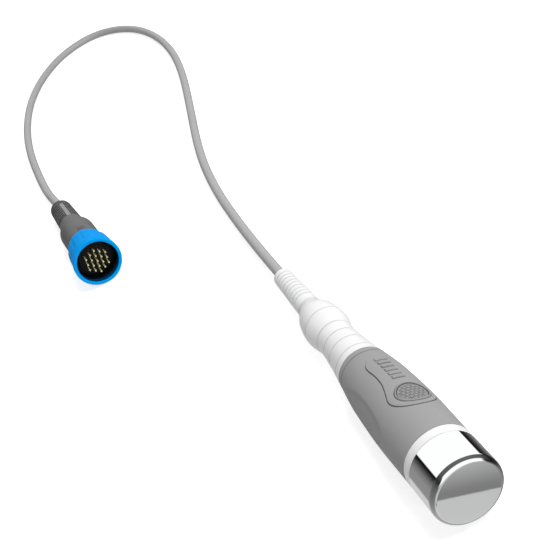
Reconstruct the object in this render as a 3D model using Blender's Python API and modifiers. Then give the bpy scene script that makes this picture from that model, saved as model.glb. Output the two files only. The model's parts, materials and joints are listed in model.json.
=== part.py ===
"""Ultrasound therapy head: a hand-held applicator with its cable and round plug.

The handle lies on its side on the ground, as it comes to rest, with the treatment face
towards -Y and the cable leaving towards +Y. +Z is up. The origin is under the middle of
the handle's box, on the ground. Lengths are in metres.

Each turned piece is drawn as a half outline of (place along the axis, radius) pairs.
On the handle the axis starts at the treatment face, on the plug at the front rim.
"""
import math

import bmesh
import bpy
import numpy as np
from mathutils import Matrix, Vector

MM = 0.001
OBJECT_NAME = "ultrasound_therapy_head"

# Fits
GAP = 0.3 * MM             # between two pieces that touch
MERGE = 0.01 * MM          # points closer than this are one
THROUGH = 1.0 * MM         # how far a cutter runs past the surface that it cuts

# Transducer cap
CAP_LENGTH = 20.4 * MM
CAP_RADIUS = 17.0 * MM
CAP_WALL = 1.3 * MM
CAP_RIM_ROUND = 2.1 * MM
FACE_THICKNESS = 1.6 * MM

# Crystal and its contact
CRYSTAL_RADIUS = 12.5 * MM
CRYSTAL_THICKNESS = 2.2 * MM
RETAINER_LIP = 2.0 * MM            # how far the retainer reaches over the crystal
RETAINER_LIP_THICKNESS = 1.5 * MM
RETAINER_LENGTH = 7.6 * MM
RETAINER_WALL = 1.6 * MM
CONTACT_PLATE_THICKNESS = 1.6 * MM
CONTACT_PLATE_HOLE = 5.5 * MM
SPRING_RADIUS = 6.6 * MM
SPRING_WIRE = 0.8 * MM
SPRING_TURNS = 3
SPRING_POINTS = 9                  # on each turn

# Front collar, between the cap and the sleeve
COLLAR_LENGTH = 5.1 * MM
COLLAR_BORE = 9.6 * MM
COLLAR_TAIL = 8.5 * MM             # how far it reaches into the housing
SEAL_THICKNESS = 1.5 * MM
SEAL_SETBACK = 2.6 * MM            # from the collar's flange to the seal's groove

# Outline of the handle behind the collar
BELLY_AT = 50.0 * MM
BELLY_RADIUS = 17.3 * MM
FLANK_AT = 80.0 * MM
FLANK_RADIUS = 16.1 * MM
SLEEVE_END_AT = 101.8 * MM
SLEEVE_END_RADIUS = 13.5 * MM
NECK_AT = 120.0 * MM
NECK_RADIUS = 11.3 * MM
WAIST_AT = 133.0 * MM
WAIST_RADIUS = 10.4 * MM
BULGE_AT = 147.5 * MM
BULGE_RADIUS = 12.35 * MM
SHOULDER_AT = 157.5 * MM
SHOULDER_RADIUS = 11.3 * MM
HOUSING_END_AT = 168.0 * MM
HOUSING_END_RADIUS = 7.5 * MM

# Grip sleeve
SLEEVE_THICKNESS = 2.4 * MM
SLEEVE_LINE_SETBACK = 4.5 * MM     # from the rear edge to the moulded line
SLEEVE_LINE_WIDTH = 0.9 * MM
SLEEVE_LINE_DEPTH = 0.35 * MM
SLEEVE_EDGE_ROUND = 0.5 * MM
HANDLE_ROLL = math.radians(30.0)   # the thumb panel's turn from straight up, to the right

# Thumb panel on the sleeve, and the oval rest on it
PANEL_FRONT_AT = 43.2 * MM
PANEL_FADE_AT = 87.0 * MM
PANEL_FADE_LENGTH = 14.0 * MM
PANEL_HEAD_AT = 53.0 * MM
PANEL_HEAD_WIDTH = 23.0 * MM
PANEL_NECK_AT = 73.0 * MM
PANEL_NECK_WIDTH = 16.2 * MM
PANEL_TAIL_AT = 83.0 * MM
PANEL_TAIL_WIDTH = 17.8 * MM
PANEL_RISE = 0.5 * MM
REST_AT = 54.0 * MM
REST_LENGTH = 14.8 * MM
REST_WIDTH = 17.4 * MM
REST_RISE = 0.5 * MM
REST_RIM = 0.9 * MM
REST_DISH_DEPTH = 0.75 * MM

# Housing
CORE_WALL = 2.0 * MM
REAR_BORE = 8.2 * MM
REAR_BORE_END_AT = 157.0 * MM
GROOVE_SETBACKS = (5.1 * MM, 16.1 * MM, 25.3 * MM, 34.0 * MM, 46.3 * MM)   # behind the sleeve
GROOVE_WIDTH = 1.2 * MM
GROOVE_DEPTH = 0.45 * MM

# Matching board
BOARD_START_AT = 48.0 * MM
BOARD_END_AT = 112.0 * MM
BOARD_THICKNESS = 1.6 * MM
COIL_AT = 66.0 * MM
COIL_RADIUS = 6.0 * MM
COIL_HOLE = 2.8 * MM
COIL_HEIGHT = 5.0 * MM
CAPACITOR_AT = 84.0 * MM
CAPACITOR_LENGTH = 8.0 * MM
CAPACITOR_WIDTH = 7.0 * MM
CAPACITOR_HEIGHT = 4.0 * MM
LEAD_RADIUS = 0.5 * MM
LEAD_SPREAD = 5.0 * MM
LEAD_FLARE = 1.5 * MM              # how much further apart they start, on the contact plate
LEAD_POINT_SPACING = 3.5 * MM
LEAD_ON_BOARD = 4.0 * MM

# Cable
CABLE_RADIUS = 3.15 * MM
GROUND_GAP = 0.05 * MM             # under the cable, so that it never dips below the ground
CORES_RADIUS = 1.8 * MM
POINT_SPACING = 2.7                # cable diameters between the tube's points
CLAMP_LENGTH = 5.0 * MM
CLAMP_AT = 146.0 * MM
TAIL_START_AT = 138.0 * MM

# Boot on the handle
BOOT_LENGTH = 44.6 * MM
BOOT_FRONT_RADIUS = 7.1 * MM
BOOT_END_RADIUS = 5.7 * MM
BOOT_NECK_RADIUS = 5.9 * MM
BOOT_FLANGE_LENGTH = 3.6 * MM
BOOT_RINGS = 9
BOOT_RING_START = 9.6 * MM         # behind the housing
BOOT_RING_PITCH = 3.8 * MM
BOOT_RING_WIDTH = 1.3 * MM
BOOT_RING_DEPTH = 0.7 * MM
BOOT_EDGE_ROUND = 0.5 * MM

# Plug
RING_LENGTH = 30.0 * MM
RING_RADIUS = 16.2 * MM
RING_LIP_LENGTH = 3.6 * MM
RING_WAIST_AT = 9.0 * MM
RING_BARREL_RADIUS = 15.6 * MM
RING_SHOULDER_AT = 22.0 * MM
RING_SHOULDER_RADIUS = 14.7 * MM
RING_REAR_RADIUS = 12.9 * MM
RING_BORE = 13.9 * MM
RING_BORE_DEPTH = 14.5 * MM
RING_WEB_THICKNESS = 3.0 * MM
RING_REAR_BORE = 12.0 * MM
RING_EDGE_ROUND = 0.7 * MM
RING_FLUTES = 12
RING_FLUTE_RADIUS = 3.0 * MM
RING_FLUTE_DEPTH = 0.45 * MM
BARREL_FRONT_AT = 8.0 * MM
BARREL_RADIUS = 11.0 * MM
BARREL_WALL = 1.4 * MM
BARREL_FLANGE_THICKNESS = 2.6 * MM
BARREL_SHOULDER = 1.0 * MM
BARREL_THREAD = 8.0 * MM           # how far it reaches into the backshell
INSERT_THICKNESS = 9.0 * MM
CLIP_THICKNESS = 1.0 * MM
CLIP_GRIP = 0.8 * MM               # how deep the clip sits in its groove
CLIP_OPENING = 7.0 * MM
PIN_RADIUS = 0.55 * MM
PIN_TIP_RADIUS = 0.7 * MM
PIN_TIP_AT = 0.9 * MM              # behind the ring's rim
PIN_TAIL = 4.0 * MM                # behind the insert
PIN_PITCH = 3.85 * MM
PIN_ROWS = (3, 4, 5, 4, 3)
PIN_FIELD_TURN = math.radians(-33.8)   # from the spine
SHELL_END_AT = 74.0 * MM
SHELL_RADIUS = 12.3 * MM
SHELL_ROUND_AT = 56.0 * MM
SHELL_SHOULDER_AT = 66.0 * MM
SHELL_SHOULDER_RADIUS = 10.2 * MM
SHELL_END_RADIUS = 9.0 * MM
SHELL_WALL = 1.5 * MM
SHELL_THROAT = 7.2 * MM
SHELL_THROAT_LENGTH = 7.0 * MM
SPINE_WIDTH = 3.6 * MM
SPINE_THICKNESS = 1.4 * MM
SPINE_PROUD = 0.2 * MM
SPINE_END_AT = 103.0 * MM
MARK_PLACES = (33.6 * MM, 37.0 * MM)
MARK_WIDTH = 0.9 * MM
MARK_LENGTH = 5.2 * MM
MARK_DEPTH = 0.6 * MM
PLUG_LENGTH = 112.6 * MM
PLUG_BOOT_FRONT_RADIUS = 8.8 * MM
PLUG_BOOT_REAR_RADIUS = 7.8 * MM
PLUG_BOOT_END_ROUND = 3.6 * MM
PLUG_BOOT_FLANGE_LENGTH = 3.6 * MM
PLUG_BOOT_SLOTS = 7
SLOT_START_AT = 78.0 * MM
SLOT_PITCH = 3.7 * MM
SLOT_WIDTH = 1.7 * MM
SLOT_DEPTH = 1.5 * MM
SLOT_SPINE = 5.6 * MM              # solid width left between the slots, on top and below
PLUG_CLAMP_AT = 52.0 * MM
PLUG_CLAMP_LENGTH = 5.0 * MM
PLUG_TAIL_START_AT = 44.0 * MM
PLUG_CORES_RADIUS = 2.6 * MM
PLUG_TURN = math.radians(-3.56)    # from the handle's direction, seen from above
PLUG_ROLL = math.radians(15.0)
PLUG_FRONT = (-88.7 * MM, 218.6 * MM)   # where the ring's rim stands, in plan

# The cable's route on the ground, in plan, from the boot to the plug
CABLE_ROUTE = [(1.3, 188.0), (2.8, 223.0), (6.4, 262.0), (13.1, 303.0), (23.4, 347.0),
               (35.7, 396.0), (47.3, 448.0), (54.2, 504.0), (51.0, 561.0), (35.0, 606.0),
               (9.3, 629.0), (-18.8, 628.0), (-46.2, 608.0), (-69.3, 573.0), (-86.0, 526.0),
               (-95.8, 472.0), (-99.3, 415.0), (-98.8, 370.0)]
CABLE_EXIT_RUN = 14.0 * MM         # straight run out of each boot

# Facets round each turned piece
FINE = 36
MEDIUM = 24
SOFT = 20
COARSE = 16
SMALL = 6

# Points on a rounded edge, and sides of a round wire or hole (as bevel steps)
EDGE_POINTS = 3
NOSE_POINTS = 5
WIRE_STEPS = 1
CABLE_STEPS = 2
FLUTE_STEPS = 3

# Derived places
COLLAR_END_AT = CAP_LENGTH + COLLAR_LENGTH
BOOT_END_AT = HOUSING_END_AT + BOOT_LENGTH
CAP_BORE = CAP_RADIUS - CAP_WALL

OUTLINE = [(COLLAR_END_AT, CAP_RADIUS), (BELLY_AT, BELLY_RADIUS), (FLANK_AT, FLANK_RADIUS),
           (SLEEVE_END_AT, SLEEVE_END_RADIUS), (NECK_AT, NECK_RADIUS), (WAIST_AT, WAIST_RADIUS),
           (BULGE_AT, BULGE_RADIUS), (SHOULDER_AT, SHOULDER_RADIUS),
           (HOUSING_END_AT, HOUSING_END_RADIUS)]


# Curves through named points

def smooth(stations, places):
    """Values at places on a curve through stations that never overshoots them."""
    x, y = np.array(sorted(stations)).T
    step = np.diff(x)
    slope = np.diff(y) / step
    tangent = np.zeros(len(x))
    same_way = slope[:-1] * slope[1:] > 0
    weight_a = 2 * step[1:] + step[:-1]
    weight_b = step[1:] + 2 * step[:-1]
    safe_a = np.where(same_way, slope[:-1], 1.0)
    safe_b = np.where(same_way, slope[1:], 1.0)
    mean = (weight_a + weight_b) / (weight_a / safe_a + weight_b / safe_b)
    tangent[1:-1] = np.where(same_way, mean, 0.0)
    tangent[0] = slope[0]
    tangent[-1] = slope[-1]
    places = np.clip(np.atleast_1d(places), x[0], x[-1])
    k = np.clip(np.searchsorted(x, places) - 1, 0, len(step) - 1)
    u = (places - x[k]) / step[k]
    return (y[k] * (1 + 2 * u) * (1 - u) ** 2 + y[k + 1] * u * u * (3 - 2 * u)
            + step[k] * (tangent[k] * u * (1 - u) ** 2 - tangent[k + 1] * u * u * (1 - u)))


def handle_radius(place):
    """Outer radius of the handle at one place behind the face."""
    return float(smooth(OUTLINE, place)[0])


def route_curve(points, spacing):
    """Points spacing apart on a smooth curve through points, worked out as a cubic spline."""
    p = np.array([tuple(q) for q in points])
    along = np.concatenate([[0], np.cumsum(np.linalg.norm(np.diff(p, axis=0), axis=1))])
    step = np.diff(along)
    n = len(p)
    matrix = np.zeros((n, n))
    wanted = np.zeros((n, p.shape[1]))
    first = (p[1] - p[0]) / step[0]
    last = (p[-1] - p[-2]) / step[-1]
    matrix[0, 0] = matrix[-1, -1] = 1
    wanted[0] = first
    wanted[-1] = last
    for i in range(1, n - 1):
        matrix[i, i - 1:i + 2] = (1 / step[i - 1], 2 / step[i - 1] + 2 / step[i], 1 / step[i])
        wanted[i] = 3 * ((p[i] - p[i - 1]) / step[i - 1] ** 2 + (p[i + 1] - p[i]) / step[i] ** 2)
    tangent = np.linalg.solve(matrix, wanted)
    places = np.linspace(0, along[-1], int(round(along[-1] / spacing)) + 1)
    k = np.clip(np.searchsorted(along, places, side="right") - 1, 0, n - 2)
    u = ((places - along[k]) / step[k])[:, None]
    h = step[k][:, None]
    return (p[k] * (1 + 2 * u) * (1 - u) ** 2 + p[k + 1] * u * u * (3 - 2 * u)
            + h * (tangent[k] * u * (1 - u) ** 2 - tangent[k + 1] * u * u * (1 - u)))


# Scene, collections and materials

def clear_scene():
    for obj in list(bpy.data.objects):
        bpy.data.objects.remove(obj, do_unlink=True)


def new_collection(name):
    collection = bpy.data.collections.new(name)
    bpy.context.scene.collection.children.link(collection)
    return collection


def material(name, colour, roughness, metallic=0.0):
    mat = bpy.data.materials.new(name)
    mat.use_nodes = True
    shader = mat.node_tree.nodes["Principled BSDF"]
    shader.inputs["Base Color"].default_value = (*colour, 1.0)
    shader.inputs["Roughness"].default_value = roughness
    shader.inputs["Metallic"].default_value = metallic
    return mat


clear_scene()
PARTS = new_collection(OBJECT_NAME)
CUTTERS = new_collection("cutters")

CHROME = material("chrome", (0.78, 0.79, 0.80), 0.08, 1.0)
WHITE = material("white_plastic", (0.86, 0.86, 0.85), 0.35)
SLEEVE_GREY = material("sleeve_grey", (0.33, 0.33, 0.33), 0.65)
CABLE_GREY = material("cable_grey", (0.40, 0.40, 0.40), 0.55)
CRYSTAL = material("crystal_silvered", (0.75, 0.73, 0.68), 0.45, 0.6)
STEEL = material("spring_steel", (0.60, 0.60, 0.62), 0.25, 1.0)
BLACK_RUBBER = material("black_rubber", (0.03, 0.03, 0.03), 0.7)
NATURAL = material("natural_plastic", (0.75, 0.72, 0.62), 0.5)
BOARD_GREEN = material("board_green", (0.02, 0.22, 0.08), 0.4)
COPPER = material("copper_winding", (0.62, 0.27, 0.12), 0.35, 0.8)
CAPACITOR_TAN = material("capacitor_tan", (0.60, 0.38, 0.12), 0.5)
RED_WIRE = material("red_wire", (0.55, 0.03, 0.02), 0.5)
BLUE = material("coupling_blue", (0.0, 0.30, 0.90), 0.35)
BLACK = material("black_plastic", (0.015, 0.015, 0.017), 0.4)
GOLD = material("gold_contact", (0.85, 0.65, 0.28), 0.2, 1.0)
SHELL_GREY = material("shell_grey", (0.18, 0.18, 0.18), 0.5)
BOOT_GREY = material("boot_dark_grey", (0.055, 0.055, 0.055), 0.6)


# Making pieces

def add(name, data, mat, parent=None, collection=None):
    """An object in the parts' collection, unless another one is named."""
    obj = bpy.data.objects.new(name, data)
    (collection or PARTS).objects.link(obj)
    if mat is not None:
        data.materials.append(mat)
    obj.parent = parent
    return obj


def turn_round(obj, facets):
    """Turns an outline in the XZ plane a full circle round Z."""
    screw = obj.modifiers.new("turn", "SCREW")
    screw.axis = "Z"
    screw.angle = math.tau
    screw.steps = facets
    screw.render_steps = facets
    screw.use_merge_vertices = True
    screw.merge_threshold = MERGE
    return obj


def outline_mesh(name, loops):
    """A mesh of edges from outlines of (place, radius). One that is off the axis is closed."""
    mesh = bpy.data.meshes.new(name)
    points = []
    edges = []
    for loop in loops:
        first = len(points)
        points += [(radius, 0.0, place) for place, radius in loop]
        edges += [(i, i + 1) for i in range(first, len(points) - 1)]
        if loop[0][1] > MERGE:
            edges.append((len(points) - 1, first))
    mesh.from_pydata(points, edges, [])
    return mesh


def turned(name, outer, inner, mat, parent, facets=FINE, collection=None):
    """A turned piece from its outer and inner outlines, both from front to rear.

    With no inner outline the piece is solid. Where both start on the axis, it is a cup.
    """
    if inner is None:
        loop = [(outer[-1][0], 0.0)] + outer[::-1] + [(outer[0][0], 0.0)]
    else:
        loop = list(inner) + outer[::-1]
    obj = turn_round(add(name, outline_mesh(name, [loop]), mat, parent, collection), facets)
    return obj


def sleeve_of(name, start, end, outer_radius, inner_radius, mat, parent, facets=FINE):
    """A plain ring or tube."""
    return turned(name, [(start, outer_radius), (end, outer_radius)],
                  [(start, inner_radius), (end, inner_radius)], mat, parent, facets)


def as_helper(obj):
    """A helper is drawn as wire and left out of the render."""
    obj.display_type = "WIRE"
    obj.hide_render = True
    return obj


def as_mesh(obj):
    """The evaluated shape of a curve as one welded mesh, in the curve's place."""
    bpy.context.view_layer.update()
    mesh = bpy.data.meshes.new_from_object(obj.evaluated_get(bpy.context.evaluated_depsgraph_get()))
    shell = bmesh.new()
    shell.from_mesh(mesh)
    bmesh.ops.remove_doubles(shell, verts=shell.verts, dist=MERGE)
    bmesh.ops.recalc_face_normals(shell, faces=shell.faces)
    shell.to_mesh(mesh)
    shell.free()
    fresh = bpy.data.objects.new(obj.name + "_mesh", mesh)
    fresh.parent = obj.parent
    fresh.matrix_world = obj.matrix_world.copy()
    CUTTERS.objects.link(fresh)
    bpy.data.objects.remove(obj, do_unlink=True)
    return fresh


def combine(obj, other, operation):
    """Adds a Boolean modifier: DIFFERENCE, UNION or INTERSECT."""
    boolean = obj.modifiers.new(operation.lower(), "BOOLEAN")
    boolean.operation = operation
    boolean.solver = "EXACT"
    boolean.object = other
    return obj


def box(name, low, high, mat, parent, collection=None):
    """A block between two corners of its parent's frame."""
    mesh = bpy.data.meshes.new(name)
    shell = bmesh.new()
    bmesh.ops.create_cube(shell, size=1.0)
    low = Vector(low)
    high = Vector(high)
    place = Matrix.Translation((low + high) / 2) @ Matrix.Diagonal((*(high - low), 1.0))
    bmesh.ops.transform(shell, matrix=place, verts=shell.verts)
    shell.to_mesh(mesh)
    shell.free()
    return add(name, mesh, mat, parent, collection)


def curve_object(name, paths, radius, mat, parent, collection=None, steps=WIRE_STEPS):
    """Round wires along lists of points: poly splines with a bevel and closed ends."""
    curve = bpy.data.curves.new(name, "CURVE")
    curve.dimensions = "3D"
    curve.bevel_depth = radius
    curve.bevel_resolution = steps
    curve.use_fill_caps = True
    for path in paths:
        spline = curve.splines.new("POLY")
        spline.points.add(len(path) - 1)
        for point, place in zip(spline.points, path):
            point.co = (*place, 1.0)
    return add(name, curve, mat, parent, collection)


def prism(name, outline, low, high, parent):
    """A helper: a flat outline of (along, across) points, drawn out from low to high off the axis."""
    curve = bpy.data.curves.new(name, "CURVE")
    curve.dimensions = "2D"
    curve.fill_mode = "BOTH"
    curve.extrude = (high - low) / 2
    spline = curve.splines.new("POLY")
    spline.points.add(len(outline) - 1)
    for point, (along, across) in zip(spline.points, outline):
        point.co = (along, across, 0.0, 1.0)
    spline.use_cyclic_u = True
    obj = add(name, curve, None, parent, CUTTERS)
    lay = Matrix(((0, 0, -1, 0), (0, 1, 0, 0), (1, 0, 0, 0), (0, 0, 0, 1)))
    obj.matrix_local = Matrix.Translation(((low + high) / 2, 0, 0)) @ lay
    return as_helper(as_mesh(obj))


# Outlines

def through(start, end, count, *places):
    """Evenly spread places from start to end, with the named ones among them."""
    spread = [p for p in np.linspace(start, end, count)
              if all(abs(p - q) > (end - start) / count / 2 for q in places) or p in (start, end)]
    return sorted(spread + [q for q in places if start < q < end])


def stretch(places, radius_at, offset=0.0):
    """Outline points at the given places."""
    return [(place, float(radius_at(place)) + offset) for place in places]


def grooved(places, radius_at, grooves, width, depth):
    """Outline points at places, with a V groove cut at each of grooves."""
    points = stretch([p for p in places if all(abs(p - g) > width for g in grooves)], radius_at)
    for groove in grooves:
        points += stretch([groove - width / 2, groove + width / 2], radius_at)
        points += stretch([groove], radius_at, -depth)
    return sorted(points)


def ellipse(centre, length, width, count):
    """Outline points of an oval round centre, as (place, width)."""
    angles = np.linspace(0, math.tau, count, endpoint=False)
    return [(centre + length / 2 * math.cos(a), width / 2 * math.sin(a)) for a in angles]


def rounded_front(place, radius, round_off, count=EDGE_POINTS):
    """The rounded front edge of an outline that goes on rearwards at radius."""
    angles = np.linspace(0, math.pi / 2, count)
    return [(place + round_off * (1 - math.sin(a)), radius - round_off * (1 - math.cos(a)))
            for a in angles[::-1]]


def cap_outline():
    front = rounded_front(0.0, CAP_RADIUS, CAP_RIM_ROUND, NOSE_POINTS)
    return front + [(CAP_LENGTH - GAP / 2, CAP_RADIUS)]


def sleeve_outline():
    start = COLLAR_END_AT + GAP / 2
    end = SLEEVE_END_AT - GAP / 2
    places = through(start + SLEEVE_EDGE_ROUND, end - SLEEVE_EDGE_ROUND, 10, BELLY_AT, FLANK_AT)
    outline = grooved(places, handle_radius, [SLEEVE_END_AT - SLEEVE_LINE_SETBACK],
                      SLEEVE_LINE_WIDTH, SLEEVE_LINE_DEPTH)
    return (stretch([start], handle_radius, -SLEEVE_EDGE_ROUND) + outline
            + stretch([end], handle_radius, -SLEEVE_EDGE_ROUND))


def housing_outline():
    grooves = [SLEEVE_END_AT + setback for setback in GROOVE_SETBACKS]
    places = through(SLEEVE_END_AT + GAP / 2, HOUSING_END_AT - GAP / 2, 11, WAIST_AT, BULGE_AT)
    return grooved(places, handle_radius, grooves, GROOVE_WIDTH, GROOVE_DEPTH)


def boot_radius(place):
    share = (place - HOUSING_END_AT) / BOOT_LENGTH
    return BOOT_FRONT_RADIUS + (BOOT_END_RADIUS - BOOT_FRONT_RADIUS) * share


def boot_outline():
    start = HOUSING_END_AT + GAP / 2
    rings = [HOUSING_END_AT + BOOT_RING_START + BOOT_RING_PITCH * i for i in range(BOOT_RINGS)]
    outline = grooved([start + BOOT_EDGE_ROUND, BOOT_END_AT - BOOT_EDGE_ROUND], boot_radius, rings,
                      BOOT_RING_WIDTH, BOOT_RING_DEPTH)
    return (stretch([start], boot_radius, -BOOT_EDGE_ROUND) + outline
            + stretch([BOOT_END_AT], boot_radius, -BOOT_EDGE_ROUND))


def ring_radius(place):
    stations = [(RING_LIP_LENGTH, RING_RADIUS), (RING_WAIST_AT, RING_BARREL_RADIUS),
                (RING_SHOULDER_AT, RING_SHOULDER_RADIUS), (RING_LENGTH, RING_REAR_RADIUS)]
    return float(smooth(stations, place)[0])


def ring_outline():
    front = rounded_front(0.0, RING_RADIUS, RING_EDGE_ROUND)
    rear = stretch(through(RING_LIP_LENGTH, RING_LENGTH, 6), ring_radius)
    return front + rear


def shell_radius(place):
    stations = [(RING_LENGTH, SHELL_RADIUS), (SHELL_ROUND_AT, SHELL_RADIUS),
                (SHELL_SHOULDER_AT, SHELL_SHOULDER_RADIUS), (SHELL_END_AT, SHELL_END_RADIUS)]
    return float(smooth(stations, place)[0])


def plug_boot_radius(place):
    share = (place - SHELL_END_AT) / (PLUG_LENGTH - SHELL_END_AT)
    return PLUG_BOOT_FRONT_RADIUS + (PLUG_BOOT_REAR_RADIUS - PLUG_BOOT_FRONT_RADIUS) * share


def plug_boot_end():
    """The rounded rear end of the plug's boot, from its flank to its flat end."""
    start = PLUG_LENGTH - PLUG_BOOT_END_ROUND
    angles = np.linspace(0, math.pi / 2, NOSE_POINTS)
    return [(start + PLUG_BOOT_END_ROUND * math.sin(a),
             plug_boot_radius(start) - PLUG_BOOT_END_ROUND * (1 - math.cos(a))) for a in angles]


# How the handle and the plug lie on the ground

def resting_line(outline):
    """Tilt and height of an axis whose turned outline lies on the ground.

    The ground touches the outline at both ends of the longest edge of its convex hull.
    The tilt is positive where the axis falls towards the rear.
    """
    hull = []
    for place, radius in sorted(outline):
        while len(hull) > 1:
            (x1, y1), (x2, y2) = hull[-2:]
            if (x2 - x1) * (radius - y1) - (y2 - y1) * (place - x1) < 0:
                break
            hull.pop()
        hull.append((place, radius))
    (x1, y1), (x2, y2) = max(zip(hull, hull[1:]), key=lambda edge: edge[1][0] - edge[0][0])
    tilt = math.atan2(y1 - y2, x2 - x1)
    return tilt, y1 * math.cos(tilt) + x1 * math.sin(tilt)


def axis_frame(name, origin, tilt, turn, roll):
    """An empty whose Z runs back along a body's axis. Its X points up, turned by roll."""
    back = Vector((math.sin(turn) * math.cos(tilt), math.cos(turn) * math.cos(tilt), -math.sin(tilt)))
    side = Vector((math.cos(turn), -math.sin(turn), 0.0))
    frame = Matrix((side.cross(back), side, back)).transposed().to_4x4()
    empty = bpy.data.objects.new(name, None)
    PARTS.objects.link(empty)
    empty.matrix_world = Matrix.Translation(origin) @ frame @ Matrix.Rotation(roll, 4, "Z")
    return empty


def handle_frame():
    """The handle's frame, with its box centred over the origin and its lowest point on the ground."""
    outline = cap_outline() + sleeve_outline() + housing_outline() + boot_outline()
    tilt, height = resting_line(outline)
    lengthwise = [place * math.cos(tilt) + side * radius * math.sin(tilt)
                  for place, radius in outline for side in (-1, 1)]
    front = -(min(lengthwise) + max(lengthwise)) / 2
    return axis_frame("handle_axis", (0.0, front, height), tilt, 0.0, HANDLE_ROLL)


def plug_frame():
    tilt, height = resting_line(ring_outline() + plug_boot_end())
    return axis_frame("plug_axis", (*PLUG_FRONT, height), tilt, PLUG_TURN, PLUG_ROLL)


HANDLE = handle_frame()
PLUG = plug_frame()
bpy.context.view_layer.update()


# The transducer end

CRYSTAL_START = FACE_THICKNESS + GAP
CRYSTAL_END = CRYSTAL_START + CRYSTAL_THICKNESS
RETAINER_START = CRYSTAL_END + GAP
RETAINER_END = RETAINER_START + RETAINER_LENGTH
PLATE_START = RETAINER_END + GAP
PLATE_END = PLATE_START + CONTACT_PLATE_THICKNESS
NOSE_START = PLATE_END + GAP
NOSE_RADIUS = CAP_BORE - GAP
FLANGE_START = CAP_LENGTH + GAP / 2
FLANGE_END = COLLAR_END_AT - GAP / 2


def core_radius(place):
    """Outer radius of the housing's core, under the sleeve."""
    return handle_radius(place) - SLEEVE_THICKNESS - GAP


def make_cap():
    inner = [(FACE_THICKNESS, 0.0), (FACE_THICKNESS, CAP_BORE), (CAP_LENGTH - GAP / 2, CAP_BORE)]
    return turned("transducer_cap", [(0.0, 0.0)] + cap_outline(), inner, CHROME, HANDLE)


def make_crystal_stack():
    turned("piezo_disc", [(CRYSTAL_START, CRYSTAL_RADIUS), (CRYSTAL_END, CRYSTAL_RADIUS)], None,
           CRYSTAL, HANDLE, MEDIUM)
    lip_end = RETAINER_START + RETAINER_LIP_THICKNESS
    lip_radius = CRYSTAL_RADIUS - RETAINER_LIP
    wall_radius = NOSE_RADIUS - RETAINER_WALL
    turned("crystal_retainer", [(RETAINER_START, NOSE_RADIUS), (RETAINER_END, NOSE_RADIUS)],
           [(RETAINER_START, lip_radius), (lip_end, lip_radius), (lip_end, wall_radius),
            (RETAINER_END, wall_radius)], NATURAL, HANDLE, MEDIUM)
    sleeve_of("contact_plate", PLATE_START, PLATE_END, NOSE_RADIUS, CONTACT_PLATE_HOLE,
              BOARD_GREEN, HANDLE, MEDIUM)
    start = CRYSTAL_END + GAP + SPRING_WIRE / 2
    rise = PLATE_START - GAP - SPRING_WIRE / 2 - start
    angles = np.linspace(0, math.tau * SPRING_TURNS, SPRING_TURNS * SPRING_POINTS + 1)
    helix = [(SPRING_RADIUS * math.cos(a), SPRING_RADIUS * math.sin(a),
              start + rise * a / angles[-1]) for a in angles]
    curve_object("contact_spring", [helix], SPRING_WIRE / 2, STEEL, HANDLE)


def make_collar():
    seal_at = FLANGE_START - SEAL_SETBACK
    groove_half = SEAL_THICKNESS / 2 + GAP
    floor = NOSE_RADIUS - SEAL_THICKNESS - GAP
    tail_radius = core_radius(COLLAR_END_AT) - CORE_WALL - GAP
    tail_end = FLANGE_END + COLLAR_TAIL
    outer = [(NOSE_START, NOSE_RADIUS), (seal_at - groove_half, NOSE_RADIUS),
             (seal_at - groove_half, floor), (seal_at + groove_half, floor),
             (seal_at + groove_half, NOSE_RADIUS), (FLANGE_START, NOSE_RADIUS),
             (FLANGE_START, CAP_RADIUS), (FLANGE_END, CAP_RADIUS),
             (FLANGE_END, tail_radius), (tail_end, tail_radius)]
    turned("front_collar", outer, [(NOSE_START, COLLAR_BORE), (tail_end, COLLAR_BORE)], WHITE, HANDLE,
           MEDIUM)
    seal_radius = NOSE_RADIUS - SEAL_THICKNESS / 2
    ring = [(seal_at + SEAL_THICKNESS / 2 * math.cos(a), seal_radius + SEAL_THICKNESS / 2 * math.sin(a))
            for a in np.linspace(0, math.tau, SMALL, endpoint=False)]
    turn_round(add("cap_o_ring", outline_mesh("cap_o_ring", [ring]), BLACK_RUBBER, HANDLE), MEDIUM)


# The grip sleeve with its thumb panel

def panel_half_outline():
    """Half of the panel's outline, as (place, half width): a round head, a neck and a wider tail."""
    head = PANEL_HEAD_AT - PANEL_FRONT_AT
    angles = np.linspace(0, math.pi / 2, 7)[:-1]
    front = [(PANEL_HEAD_AT - head * math.cos(a), PANEL_HEAD_WIDTH / 2 * math.sin(a)) for a in angles]
    tail_end = PANEL_FADE_AT + PANEL_FADE_LENGTH / 3
    stations = [(PANEL_HEAD_AT - head, PANEL_HEAD_WIDTH / 2), (PANEL_HEAD_AT, PANEL_HEAD_WIDTH / 2),
                (PANEL_NECK_AT, PANEL_NECK_WIDTH / 2), (PANEL_TAIL_AT, PANEL_TAIL_WIDTH / 2),
                (tail_end, PANEL_NECK_WIDTH / 2)]
    places = through(PANEL_HEAD_AT, tail_end, 9, PANEL_NECK_AT)
    return front + [(place, float(smooth(stations, place)[0])) for place in places]


def panel_rise(place):
    """How far the panel stands off the sleeve: level at first, then fading below its surface."""
    share = (PANEL_FADE_AT - place) / PANEL_FADE_LENGTH
    return PANEL_RISE * min(1.0, share)


def skin(name, start, end, count, outer_offset, inner_offset):
    """A helper: a layer of the sleeve, from inner_offset(place) to outer_offset(place) off its surface."""
    places = through(start, end, count, *(p for p in (BELLY_AT, FLANK_AT) if start < p < end))
    outer = [(place, handle_radius(place) + outer_offset(place)) for place in places]
    inner = [(place, handle_radius(place) + inner_offset(place)) for place in places]
    return as_helper(turned(name, outer, inner, None, HANDLE, FINE, CUTTERS))


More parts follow.
